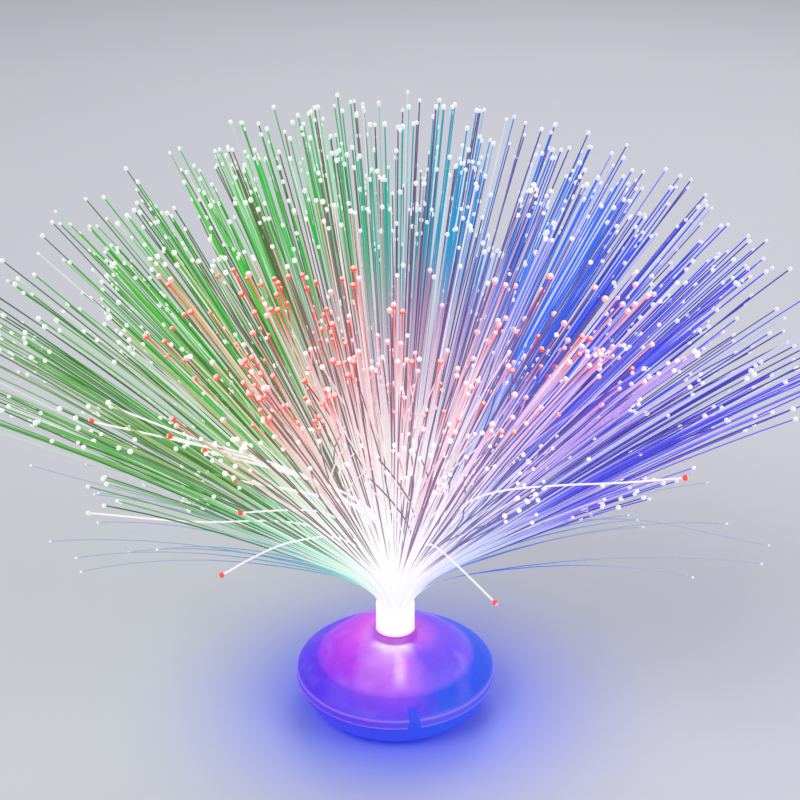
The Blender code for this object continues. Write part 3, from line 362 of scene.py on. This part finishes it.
FIBRE = fibre_material()
TIPS = (
    tip_material("fibre_tip_pale", srgb(255, 253, 255), 0.72, srgb(255, 255, 255)),
    tip_material("fibre_tip_red", srgb(255, 70, 52), 0.95, srgb(255, 214, 204)),
    tip_material("fibre_tip_pink", srgb(255, 176, 188), 0.9, srgb(255, 246, 248)),
)
# The sort of strand and the material slot of the tip, for each kind of fibre
TIP_KINDS = {"pale": (0, 1), "red": (1, 2), "pink": (2, 3), "dim": (3, 1)}
STRAY_KINDS = {"red": (4, 2), "white": (4, 1), "dim": (3, 1)}
STRAY_TIP_SHARES = {"red": 1.25, "white": 1.1, "dim": 0.6}


class Strands:
    """The mesh of one slice of the bundle, filled tube by tube."""

    def __init__(self):
        self.points, self.faces, self.uvs, self.slots = [], [], [], []
        self.count = 0

    def tube(self, path, radii, alongs, chance, tip_from, tip_slot):
        """A closed tube along the path. Rings from tip_from on belong to the tip."""
        path = np.asarray(path)
        ways = np.gradient(path, axis=0)
        ways /= np.linalg.norm(ways, axis=1)[:, None]
        side = np.cross(ways[0], (0.31, 0.95, 0.0))
        turns = math.tau * np.arange(FIBRE_SIDES) / FIBRE_SIDES
        for place, way, radius in zip(path, ways, radii):
            side = side - way * (side @ way)
            side /= np.linalg.norm(side)
            other = np.cross(way, side)
            ring = place + radius * (np.cos(turns)[:, None] * side + np.sin(turns)[:, None] * other)
            self.points.append(ring)
        last, start = len(path) - 1, self.count
        for i in range(last):
            low, high = start + i * FIBRE_SIDES, start + (i + 1) * FIBRE_SIDES
            for j in range(FIBRE_SIDES):
                k = (j + 1) % FIBRE_SIDES
                self.faces.append((low + j, low + k, high + k, high + j))
                self.uvs.append([(chance, alongs[i])] * 2 + [(chance, alongs[i + 1])] * 2)
                self.slots.append(tip_slot if i >= tip_from else 0)
        for i, order in ((0, -1), (last, 1)):
            ring = start + i * FIBRE_SIDES
            self.faces.append(tuple(range(ring, ring + FIBRE_SIDES))[::order])
            self.uvs.append([(chance, alongs[i])] * FIBRE_SIDES)
            self.slots.append(tip_slot if i else 0)
        self.count += len(path) * FIBRE_SIDES

    def plug(self, quarter):
        """A quarter of the clear potting that holds the feet of the fibres."""
        edge = math.pi / 4 - math.asin(PLUG_HALF_CUT / PLUG_RADIUS)
        corner = quarter * math.pi / 2
        turns = [corner + edge * (2 * i / PLUG_ARC_STEPS - 1) for i in range(PLUG_ARC_STEPS + 1)]
        inner = [(PLUG_CORNER * math.cos(corner), PLUG_CORNER * math.sin(corner))]
        outline = inner + [(PLUG_RADIUS * math.cos(t), PLUG_RADIUS * math.sin(t)) for t in turns]
        levels = ((PLUG_BOTTOM, 1.0), (PLUG_TOP - PLUG_CHAMFER, 1.0), (PLUG_TOP, PLUG_TOP_SHARE))
        start, size = self.count, len(outline)
        middle = np.mean(outline, axis=0)
        for height, share in levels:
            flat = middle + (np.array(outline) - middle) * share
            self.points.append(np.column_stack([flat, np.full(size, height)]))
        for level in range(len(levels) - 1):
            for j in range(size):
                k = (j + 1) % size
                low, high = start + level * size, start + (level + 1) * size
                self.faces.append((low + j, low + k, high + k, high + j))
        self.faces.append(tuple(range(start, start + size))[::-1])
        self.faces.append(tuple(range(start + (len(levels) - 1) * size, start + len(levels) * size)))
        made = (len(levels) - 1) * size + 2
        for face in self.faces[-made:]:
            self.uvs.append([(0.5, 0.0)] * len(face))
            self.slots.append(0)
        self.count += len(levels) * size

    def finish(self, name):
        mesh = bpy.data.meshes.new(name)
        mesh.from_pydata(np.concatenate(self.points).tolist(), [], self.faces)
        layer = mesh.uv_layers.new(name="strand")
        layer.data.foreach_set("uv", [c for face in self.uvs for uv in face for c in uv])
        mesh.polygons.foreach_set("material_index", self.slots)
        mesh.polygons.foreach_set("use_smooth", [len(face) == 4 for face in self.faces])
        for finish in (FIBRE, *TIPS):
            mesh.materials.append(finish)
        mesh.update()
        made = bpy.data.objects.new(name, mesh)
        bpy.context.collection.objects.link(made)
        return made


def disc_place(k, count):
    share = math.sqrt((k + 0.5) / count)
    return share * math.cos(k * GOLDEN_ANGLE), share * math.sin(k * GOLDEN_ANGLE)


def gathered(u, v):
    """A place in the bundle, drawn towards its lock by three waves, as in the CAD."""
    x, y = u, v
    for turn, waves in zip(LOCK_TURNS, LOCK_WAVES):
        along = u * math.cos(turn) + v * math.sin(turn)
        shift = LOCK_PULL_SHARE / waves * math.sin(waves * along)
        x += shift * math.cos(turn)
        y += shift * math.sin(turn)
    return x, y


def fibre_root(u, v):
    """The slice of the plug that a place in the bundle belongs to, and where it meets its top."""
    quarter = int(((math.atan2(v, u) + math.pi / 4) % math.tau) // (math.pi / 2))
    out = quarter * math.pi / 2
    x = FIBRE_REACH * u + PLUG_INSET * math.cos(out)
    y = FIBRE_REACH * v + PLUG_INSET * math.sin(out)
    return SLICES[quarter], np.array([x, y, PLUG_TOP])


def fibre_way(u, v):
    """How far a fibre leans, and which way, by its place in the bundle."""
    u, v = gathered(u, v)
    share = math.hypot(u, v)
    power = LEAN_POWER + (FRONT_LEAN_POWER - LEAN_POWER) * max(-v / share, 0.0)
    lean = math.hypot(SIDE_SPREAD * u, FRONT_SPREAD * v) * share ** (power - 1)
    return lean, math.atan2(FRONT_SPREAD * v, SIDE_SPREAD * u)


def fibre_path(root, lean, heading, length, droop=1.0, bow=0.0, wave=0.0, phase=0.0):
    """Points along a fibre that leaves the plug tilted, flares out and droops a little."""
    step = length / PATH_STEPS
    along = (np.arange(PATH_STEPS) + 0.5) * step
    x = np.minimum(along / FIBRE_FLARE, 1.0)
    tilt = lean * (ROOT_TILT_SHARE + (1 - ROOT_TILT_SHARE) * (2 * x - x * x))
    tilt += droop * DROOP * math.sin(lean) * (along / length) ** 2
    share = along / length
    turn = heading + bow * share**2 + wave * np.sin(phase + 9.0 * share) * share
    tilt += 0.5 * wave * np.cos(phase + 7.0 * share) * share
    ways = np.column_stack([np.cos(turn) * np.sin(tilt), np.sin(turn) * np.sin(tilt), np.cos(tilt)])
    return np.vstack([[0.0, 0.0, 0.0], np.cumsum(ways * step, axis=0)]) + root


def add_fibre(strands, path, chance, looks, tip_radius, radius=FIBRE_RADIUS, stations=STATION_SHARES):
    """A fibre along a fine path: the stations up to the tip, then the rounded tip."""
    last = len(path) - 1
    points = [path[round(s * last)] for s in stations]
    way = path[last] - path[last - 3]
    way /= np.linalg.norm(way)
    sunk = points[0] - (points[1] - points[0]) / np.linalg.norm(points[1] - points[0]) * FIBRE_ROOT
    points = [sunk, *points, *[path[last] + way * tip_radius * ahead for ahead, _, _ in TIP_RINGS]]
    swell = [min(s / SWELL_SHARE, 1.0) for s in stations]
    bead = [max(tip_radius * wide, radius * 0.6) for _, wide, _ in TIP_RINGS]
    radii = [ROOT_RADIUS, *[ROOT_RADIUS + (radius - ROOT_RADIUS) * s for s in swell], *bead]
    alongs = [0.0, *stations, *[along for _, _, along in TIP_RINGS]]
    sort, slot = looks
    strands.tube(points, radii, alongs, sort + 0.999 * chance, len(stations), slot)


def tip_kind(path, chance):
    """Red and pink tips stand in the front of the spray, red ones more to the left."""
    x, y, z = path[-1]
    if abs(x) > 0.088 or y > -0.03 or not 0.137 < z + 0.45 * y < 0.2:
        return "pale"
    red = 0.62 if x < -0.012 else 0.2
    return "red" if chance < red else "pink" if chance < 0.85 else "pale"


def smooth_route(points, count):
    """Evenly spaced points on the smooth curve through a route's own points."""
    points = np.array(points)
    at = np.concatenate([[0.0], np.cumsum(np.linalg.norm(np.diff(points, axis=0), axis=1))])
    slopes = np.gradient(points, at, axis=0)
    far = np.linspace(0.0, at[-1], count)
    leg = np.clip(np.searchsorted(at, far, side="right") - 1, 0, len(at) - 2)
    size = (at[leg + 1] - at[leg])[:, None]
    t = (far - at[leg])[:, None] / size
    start = (2 * t**3 - 3 * t**2 + 1) * points[leg] + (t**3 - 2 * t**2 + t) * size * slopes[leg]
    end = (3 * t**2 - 2 * t**3) * points[leg + 1] + (t**3 - t**2) * size * slopes[leg + 1]
    return start + end


def photo_place(across, down, depth):
    """The place that the photo shows at a pixel and a depth along Y, to a whole millimetre."""
    ahead = np.array([0.0, math.cos(STRAY_PITCH), -math.sin(STRAY_PITCH)])
    up = np.array([0.0, math.sin(STRAY_PITCH), math.cos(STRAY_PITCH)])
    focus = CAMERA_LENS / SENSOR_WIDTH * PHOTO_WIDTH
    way = ahead + up * (PHOTO_WIDTH / 2 - down) / focus
    way[0] = (across - PHOTO_WIDTH / 2) / focus
    place = 1000 * np.array(CAMERA_PLACE)
    return np.round(place + way * (depth - place[1]) / way[1]) / 1000


def light_bundle():
    """The four slices of the bundle, each standing for its CAD node."""
    chance = np.random.default_rng(SEED)
    slices = {name: Strands() for name in SLICES}
    for i, strands in enumerate(slices.values()):
        strands.plug(i)

    def grow(side, path):
        kind = tip_kind(path, chance.uniform())
        size = TIP_RADIUS * chance.uniform(0.75, 1.1) * (1.0 if kind == "pale" else COLOURED_TIP_SHARE)
        add_fibre(slices[side], path, chance.uniform(), TIP_KINDS[kind], size)

    def grow_lock(middle, fibres, whole, bow, unrest, crossing):
        """Fibres that lie beside each other, and cross a little at their feet."""
        for i in range(fibres):
            u, v = middle + chance.normal(0, LOCK_SPREAD, 2)
            foot = np.array([u, v]) + chance.normal(0, crossing, 2)
            foot /= max(np.linalg.norm(foot), 1.0)
            side, root = fibre_root(*foot)
            lean, heading = fibre_way(u, v)
            length = whole * (1 - LOCK_LENGTH_SPREAD_SHARE * chance.uniform() ** 2)
            droop, own_bow = chance.uniform(0.5, 1.4), bow + chance.normal(0, unrest)
            wave, phase = chance.normal(0, unrest), chance.uniform(0, 6)
            grow(side, fibre_path(root, lean, heading, length, droop, own_bow, wave, phase))

    for k in range(FORM_COUNT):
        u, v = disc_place(k, FORM_COUNT)
        side, root = fibre_root(u, v)
        length = FIBRE_LENGTH * (1 - LENGTH_SPREAD_SHARE * (k * LENGTH_STRIDE_SHARE % 1.0) ** 2)
        grow(side, fibre_path(root, *fibre_way(u, v), length))
    for lock in range(LOCK_COUNT):
        middle = np.array(disc_place(lock, LOCK_COUNT)) + chance.normal(0, LOCK_DRIFT, 2)
        length = FIBRE_LENGTH * (1 - LENGTH_SPREAD_SHARE * chance.uniform() ** 2)
        grow_lock(middle, LOCK_FIBRES, length, chance.normal(0, LOCK_BOW), LOCK_UNREST, LOCK_CROSSING)
    for _ in range(FRONT_LOCK_COUNT):
        middle = np.array([chance.uniform(-0.6, 0.6), -chance.uniform(0.2, 0.86)])
        length = FIBRE_LENGTH * chance.uniform(0.5, 0.86)
        bow = chance.normal(0, FRONT_LOCK_BOW)
        grow_lock(middle, FRONT_LOCK_FIBRES, length, bow, FRONT_LOCK_UNREST, FRONT_LOCK_CROSSING)
    for i in range(LOW_COUNT):
        side, out = (("right", 0.0), ("left", math.pi))[i % 2]
        heading = out + chance.uniform(-0.6, 0.6)
        root = FIBRE_REACH * np.array([math.cos(heading), math.sin(heading), 0.0])
        root[2] = PLUG_TOP
        length = FIBRE_LENGTH * chance.uniform(0.45, 0.8)
        lean = LOW_LEAN * chance.uniform(0.9, 1.08)
        path = fibre_path(root, lean, heading, length, LOW_DROOP, chance.normal(0, 0.1))
        add_fibre(slices[side], path, 0.5, TIP_KINDS["dim"], TIP_RADIUS * LOW_TIP_SHARE, ROOT_RADIUS)
    for i, (side, kind, *pixels) in enumerate(STRAYS.values()):
        route = [photo_place(*pixel) for pixel in pixels]
        heading = math.atan2(route[0][1], route[0][0])
        out = np.array([math.cos(heading), math.sin(heading), 0.0])
        root = out * (FIBRE_REACH - 0.0006 * (i % 3)) + (0.0, 0.0, PLUG_TOP)
        rising = root + 0.006 * out + (0.0, 0.0, 0.016)
        path = smooth_route([root, rising, *route], PATH_STEPS + 1)
        size = TIP_RADIUS * STRAY_TIP_SHARES[kind]
        radius = ROOT_RADIUS if kind == "dim" else STRAY_RADIUS
        add_fibre(slices[side], path, 0.5, STRAY_KINDS[kind], size, radius, STRAY_SHARES)
    for name, strands in slices.items():
        piece = strands.finish(f"light_fibres_{name}")
        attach(piece, "lamp")
        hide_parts(f"fibres_{name}")


light_bundle()


# Materials of the CAD nodes


def shell_light(tree):
    """The colour of the lit dome and ring: violet and magenta on the left, blue on the right."""
    x, y, z = tree.split(tree.place)
    flat = tree.vector("MULTIPLY", tree.place, (1.0, 1.0, 0.0))
    radius = tree.vector("LENGTH", flat, out="Value")
    share = tree.math("DIVIDE", radius, 0.045)
    left = tree.ramp(
        share,
        (0.22, srgb(190, 70, 214)),
        (0.3, srgb(222, 100, 236)),
        (0.42, srgb(206, 76, 240)),
        (0.62, srgb(176, 58, 240)),
        (0.76, srgb(150, 56, 240)),
        (0.8, srgb(98, 48, 238)),
        (0.97, srgb(78, 52, 236)),
    )
    right = tree.ramp(
        share,
        (0.22, srgb(176, 66, 214)),
        (0.3, srgb(176, 72, 232)),
        (0.44, srgb(126, 74, 240)),
        (0.64, srgb(116, 86, 244)),
        (0.75, srgb(118, 96, 246)),
        (0.81, srgb(46, 84, 236)),
        (0.97, srgb(40, 86, 232)),
    )
    front = tree.ramp(
        share,
        (0.22, srgb(184, 70, 214)),
        (0.26, srgb(246, 226, 252)),
        (0.36, srgb(232, 188, 252)),
        (0.5, srgb(214, 138, 250)),
        (0.74, srgb(186, 104, 244)),
        (0.8, srgb(140, 74, 240)),
        (0.97, srgb(104, 60, 238)),
    )
    wide = tree.math("DIVIDE", x, radius)
    ahead = tree.math("DIVIDE", y, tree.math("MULTIPLY", radius, -1.0))
    cloud = tree.math("MULTIPLY_ADD", tree.noise(85.0, 3.0), 0.9, -0.45)
    haze = tree.smooth(tree.noise(58.0, 3.0), 0.5, 0.68, 0.0, 0.42)
    haze = tree.math("MULTIPLY", haze, tree.smooth(share, 0.7, 0.8, 1.0, 0.3))
    around = tree.mix(tree.smooth(tree.math("ADD", wide, cloud), -0.1, 0.5), left, right)
    around = tree.mix(haze, around, srgb(178, 136, 255))
    # Painted light: a pale patch and a streak in front of the collar, the LEDs' light showing through the
    # dome.
    patch = tree.math("ADD", ahead, tree.math("MULTIPLY", cloud, 0.26))
    patch = tree.math("ADD", patch, tree.smooth(share, 0.24, 0.42, 0.16, 0.0))
    middle = tree.smooth(tree.math("ADD", patch, tree.math("MULTIPLY", wide, -0.1)), 0.76, 1.1)
    lean = tree.math("ADD", wide, tree.math("MULTIPLY", cloud, 0.3))
    streak = tree.smooth(tree.math("ABSOLUTE", tree.math("SUBTRACT", lean, 0.06)), 0.0, 0.18, 0.6, 0.0)
    streak = tree.math("MULTIPLY", streak, tree.smooth(share, 0.24, 0.3))
    streak = tree.math("MULTIPLY", streak, tree.smooth(share, 0.62, 0.76, 1.0, 0.0))
    streak = tree.math("MULTIPLY", streak, tree.math("GREATER_THAN", ahead, 0.0))
    colour = tree.mix(streak, tree.mix(middle, around, front), srgb(252, 206, 255))
    return colour, share, z


def dome_material():
    tree = Tree("glowing_dome", roughness=0.42, specular_ior_level=0.25)
    colour, share, z = shell_light(tree)
    edge = tree.smooth(share, 0.965, 0.985)
    right = tree.smooth(tree.split(tree.place)[0], -0.02, 0.03)
    skirt = tree.mix(right, srgb(98, 62, 236), srgb(84, 92, 240))
    colour = tree.mix(edge, colour, skirt)
    # Painted light: lighter lines along the skirt, just under its top edge and just above the seam.
    for height in (0.0147, 0.0183):
        near = tree.math("ABSOLUTE", tree.math("SUBTRACT", z, height))
        line = tree.math("MULTIPLY", tree.smooth(near, 0.0002, 0.0007, 0.45, 0.0), edge)
        colour = tree.mix(line, colour, srgb(176, 140, 252))
    mottle = tree.math("MULTIPLY_ADD", tree.noise(190.0, 5.0, 0.65), 0.34, 0.83)
    tree.glow(tree.scale(colour, mottle), 0.28, 0.74)
    tree.bump(tree.noise(1400.0, 3.0), 0.06, 0.0004)
    return tree.material


def bowl_material(name, lit, strength):
    tree = Tree(name, roughness=0.42, specular_ior_level=0.25)
    x, y, z = tree.split(tree.place)
    colour = tree.mix(tree.smooth(x, -0.04, 0.03), srgb(70, 62, 234), srgb(44, 84, 238))
    # Painted shade: the bowl is darker towards the bottom, where it faces the floor.
    colour = tree.mix(tree.smooth(z, 0.0, 0.013, 0.35, 0.0), colour, srgb(30, 58, 215))
    mottle = tree.math("MULTIPLY_ADD", tree.noise(190.0, 5.0, 0.65), 0.26, 0.87)
    tree.glow(tree.scale(colour, mottle), lit, strength)
    tree.bump(tree.noise(1400.0, 3.0), 0.06, 0.0004)
    return tree.material


def ferrule_material():
    """Clear sleeve, white with the light of the fibres that stand in it."""
    tree = Tree("lit_ferrule", roughness=0.12, coat_weight=0.4, coat_roughness=0.05)
    x, y, z = tree.split(tree.place)
    angle = tree.math("ARCTAN2", y, x)
    stripes = tree.math("MULTIPLY_ADD", tree.math("SINE", tree.math("MULTIPLY", angle, 88.0)), 0.025, 0.975)
    colour = tree.mix(tree.smooth(z, 0.0382, 0.04), srgb(250, 232, 255), srgb(255, 254, 255))
    tree.glow(tree.scale(colour, stripes), 0.2, 0.92)
    return tree.material


def plain_material(name, colour, other, scale, roughness, metallic=0.0, depth=0.0001, glow=0.0):
    """Moulded plastic, metal or board: two close colours in a fine grain, with uneven gloss."""
    tree = Tree(name, metallic=metallic)
    grain = tree.noise(scale, 4.0, 0.6)
    shown = tree.mix(grain, colour, other)
    tree.set("Base Color", shown)
    tree.set("Roughness", tree.math("MULTIPLY_ADD", grain, 0.2, roughness - 0.1))
    tree.bump(tree.noise(scale * 4, 3.0), 0.15, depth)
    if glow:
        tree.set("Emission Color", shown)
        tree.set("Emission Strength", glow)
    return tree.material


def cell_material():
    """The sleeve of a cell: dark green with a copper-coloured end, as plain as such cells get."""
    tree = Tree("cell_sleeve", roughness=0.3)
    x, y, z = tree.split(tree.place)
    band = tree.smooth(tree.math("ABSOLUTE", x), 0.0145, 0.0148)
    colour = tree.mix(band, srgb(30, 96, 74), srgb(196, 140, 84))
    colour = tree.mix(tree.smooth(tree.math("ABSOLUTE", x), 0.0212, 0.0214), colour, srgb(190, 190, 192))
    tree.set("Base Color", tree.mix(tree.noise(300.0), colour, srgb(40, 60, 54)))
    tree.set("Metallic", tree.smooth(tree.math("ABSOLUTE", x), 0.0145, 0.0148))
    tree.bump(tree.noise(700.0), 0.1, 0.0001)
    return tree.material


def paint(finish, *names):
    for name in names:
        node = frame["nodes"][name]
        for slot in node.material_slots:
            slot.material = finish
        if not node.material_slots:
            node.data.materials.append(finish)


def smooth_facets():
    """Rounds the shading over the CAD's facets and keeps its hard edges."""
    group = bpy.data.node_groups.new("smooth_facets", "GeometryNodeTree")
    for way in ("INPUT", "OUTPUT"):
        group.interface.new_socket("Geometry", in_out=way, socket_type="NodeSocketGeometry")
    made = [group.nodes.new(kind) for kind in (
        "NodeGroupInput",
        "GeometryNodeMergeByDistance",
        "GeometryNodeRemoveAttribute",
        "GeometryNodeSetShadeSmooth",
        "GeometryNodeSetShadeSmooth",
        "NodeGroupOutput",
    )]
    for before, after in zip(made, made[1:]):
        group.links.new(before.outputs[0], after.inputs[0])
    start, weld, plain, faces, edges, end = made
    weld.inputs["Distance"].default_value = 0.00001
    plain.inputs["Name"].default_value = "custom_normal"
    edges.domain = "EDGE"
    edges.inputs["Shade Smooth"].default_value = False
    angle = group.nodes.new("GeometryNodeInputMeshEdgeAngle")
    sharp = group.nodes.new("FunctionNodeCompare")
    sharp.operation = "GREATER_THAN"
    sharp.inputs[1].default_value = math.radians(32)
    group.links.new(angle.outputs[0], sharp.inputs[0])
    group.links.new(sharp.outputs[0], edges.inputs["Selection"])
    return group


FACETS = smooth_facets()
for node in frame["nodes"].values():
    if not node.name.startswith("fibres_"):
        node.modifiers.new("smooth facets", "NODES").node_group = FACETS

paint(dome_material(), "upper_shell")
paint(bowl_material("glowing_bowl", 0.28, 0.76), "lower_shell")
paint(bowl_material("glowing_cover", 0.75, 0.3), "battery_cover")
paint(ferrule_material(), "fibre_ferrule")
paint(cell_material(), "battery_1", "battery_2", "battery_3")
NICKEL = plain_material("sprung_nickel", srgb(205, 200, 186), srgb(176, 172, 160), 500.0, 0.28, 1.0)
paint(NICKEL, "contact_positive", "contact_link_left", "contact_link_right", "contact_negative")
paint(NICKEL, "spring_1", "spring_2", "spring_3", "switch_body")
STEEL = plain_material("screw_steel", srgb(178, 178, 184), srgb(140, 140, 148), 600.0, 0.34, 1.0)
paint(STEEL, *[f"shell_screw_{i}" for i in range(1, 5)])
paint(STEEL, "tray_screw_1", "tray_screw_2", "board_screw_1", "board_screw_2")
paint(plain_material("tray_white", srgb(232, 232, 236), srgb(214, 216, 222), 350.0, 0.5), "battery_tray")
paint(plain_material("slider_black", srgb(34, 34, 38), srgb(22, 22, 26), 900.0, 0.45), "switch_slider")
paint(plain_material("board_green", srgb(28, 110, 60), srgb(22, 92, 50), 420.0, 0.35), "led_board")
RESISTOR = plain_material("resistor_tan", srgb(208, 178, 130), srgb(188, 156, 112), 800.0, 0.5)
paint(RESISTOR, "resistor_1", "resistor_2", "resistor_3")
paint(plain_material("lens_green", srgb(70, 235, 90), srgb(50, 215, 80), 400.0, 0.15, glow=0.6), "led_green")
paint(plain_material("lens_red", srgb(245, 50, 50), srgb(225, 40, 45), 400.0, 0.15, glow=0.6), "led_red")
paint(plain_material("lens_blue", srgb(60, 90, 250), srgb(50, 75, 230), 400.0, 0.15, glow=0.6), "led_blue")
LEAD_RED = plain_material("lead_red", srgb(196, 30, 28), srgb(170, 24, 24), 900.0, 0.5)
paint(LEAD_RED, "lead_positive", "lead_switch")
paint(plain_material("lead_black", srgb(30, 30, 32), srgb(20, 20, 22), 900.0, 0.5), "lead_negative")


# Studio

FLOOR_RADIUS = 6.0
FLOOR_STEPS = 64


def floor():
    mesh = bpy.data.meshes.new("floor")
    turns = [math.tau * i / FLOOR_STEPS for i in range(FLOOR_STEPS)]
    points = [(FLOOR_RADIUS * math.cos(turn), FLOOR_RADIUS * math.sin(turn), 0.0) for turn in turns]
    mesh.from_pydata(points, [], [tuple(range(FLOOR_STEPS))])
    made = bpy.data.objects.new("floor", mesh)
    bpy.context.collection.objects.link(made)
    tree = Tree("pale_floor", roughness=0.6, specular_ior_level=0.2)
    pale = tree.mix(tree.noise(3.0), srgb(199, 199, 206), srgb(203, 203, 209))
    # Painted light: the floor's colour turns blue near the base, a painted pool of the lamp's glow.
    far = tree.vector("LENGTH", tree.place, out="Value")
    glow = tree.math("POWER", tree.smooth(far, 0.02, 0.15, 1.0, 0.0), 1.7)
    tree.set("Base Color", tree.mix(tree.math("MULTIPLY", glow, 0.8), pale, srgb(84, 106, 244)))
    clear = tree.nodes.new("ShaderNodeBsdfTransparent")
    seen = tree.nodes.new("ShaderNodeMixShader")
    side = tree.nodes.new("ShaderNodeNewGeometry")
    tree.feed(seen.inputs[0], side.outputs["Backfacing"])
    tree.feed(seen.inputs[1], tree.shader.outputs[0])
    tree.feed(seen.inputs[2], clear.outputs[0])
    tree.feed(tree.nodes["Material Output"].inputs["Surface"], seen.outputs[0])
    mesh.materials.append(tree.material)


def world():
    made = bpy.data.worlds.new("studio")
    bpy.context.scene.world = made
    made.use_nodes = True
    nodes, links = made.node_tree.nodes, made.node_tree.links
    lamp, seen = nodes["Background"], nodes.new("ShaderNodeBackground")
    lamp.inputs["Color"].default_value = srgb(238, 240, 246)
    lamp.inputs["Strength"].default_value = 0.58
    seen.inputs["Color"].default_value = srgb(197, 197, 204)
    path = nodes.new("ShaderNodeLightPath")
    either = nodes.new("ShaderNodeMath")
    mixed = nodes.new("ShaderNodeMixShader")
    either.operation = "MAXIMUM"
    links.new(path.outputs["Is Camera Ray"], either.inputs[0])
    links.new(path.outputs["Is Glossy Ray"], either.inputs[1])
    links.new(either.outputs[0], mixed.inputs[0])
    links.new(lamp.outputs[0], mixed.inputs[1])
    links.new(seen.outputs[0], mixed.inputs[2])
    links.new(mixed.outputs[0], nodes["World Output"].inputs["Surface"])


def softbox(name, place, size, power):
    data = bpy.data.lights.new(name, "AREA")
    data.shape = "DISK"
    data.size = size
    data.energy = power
    made = bpy.data.objects.new(name, data)
    bpy.context.collection.objects.link(made)
    made.location = place
    made.rotation_euler = (Vector(place) - Vector((0.0, 0.0, 0.1))).to_track_quat("Z", "Y").to_euler()


def camera():
    data = bpy.data.cameras.new("camera")
    data.lens = CAMERA_LENS
    data.sensor_width = SENSOR_WIDTH
    data.clip_start = 0.01
    data.clip_end = 30.0
    made = bpy.data.objects.new("camera", data)
    bpy.context.collection.objects.link(made)
    made.location = CAMERA_PLACE
    made.rotation_euler = (math.radians(90) - CAMERA_PITCH, 0.0, 0.0)
    bpy.context.scene.camera = made


floor()
world()
softbox("key", (-0.9, -1.0, 1.7), 1.2, 19.0)
softbox("fill", (1.3, -0.7, 1.1), 1.2, 8.0)
softbox("rim", (0.3, 1.5, 1.5), 1.2, 11.0)
camera()
bpy.context.scene.view_settings.view_transform = "Standard"
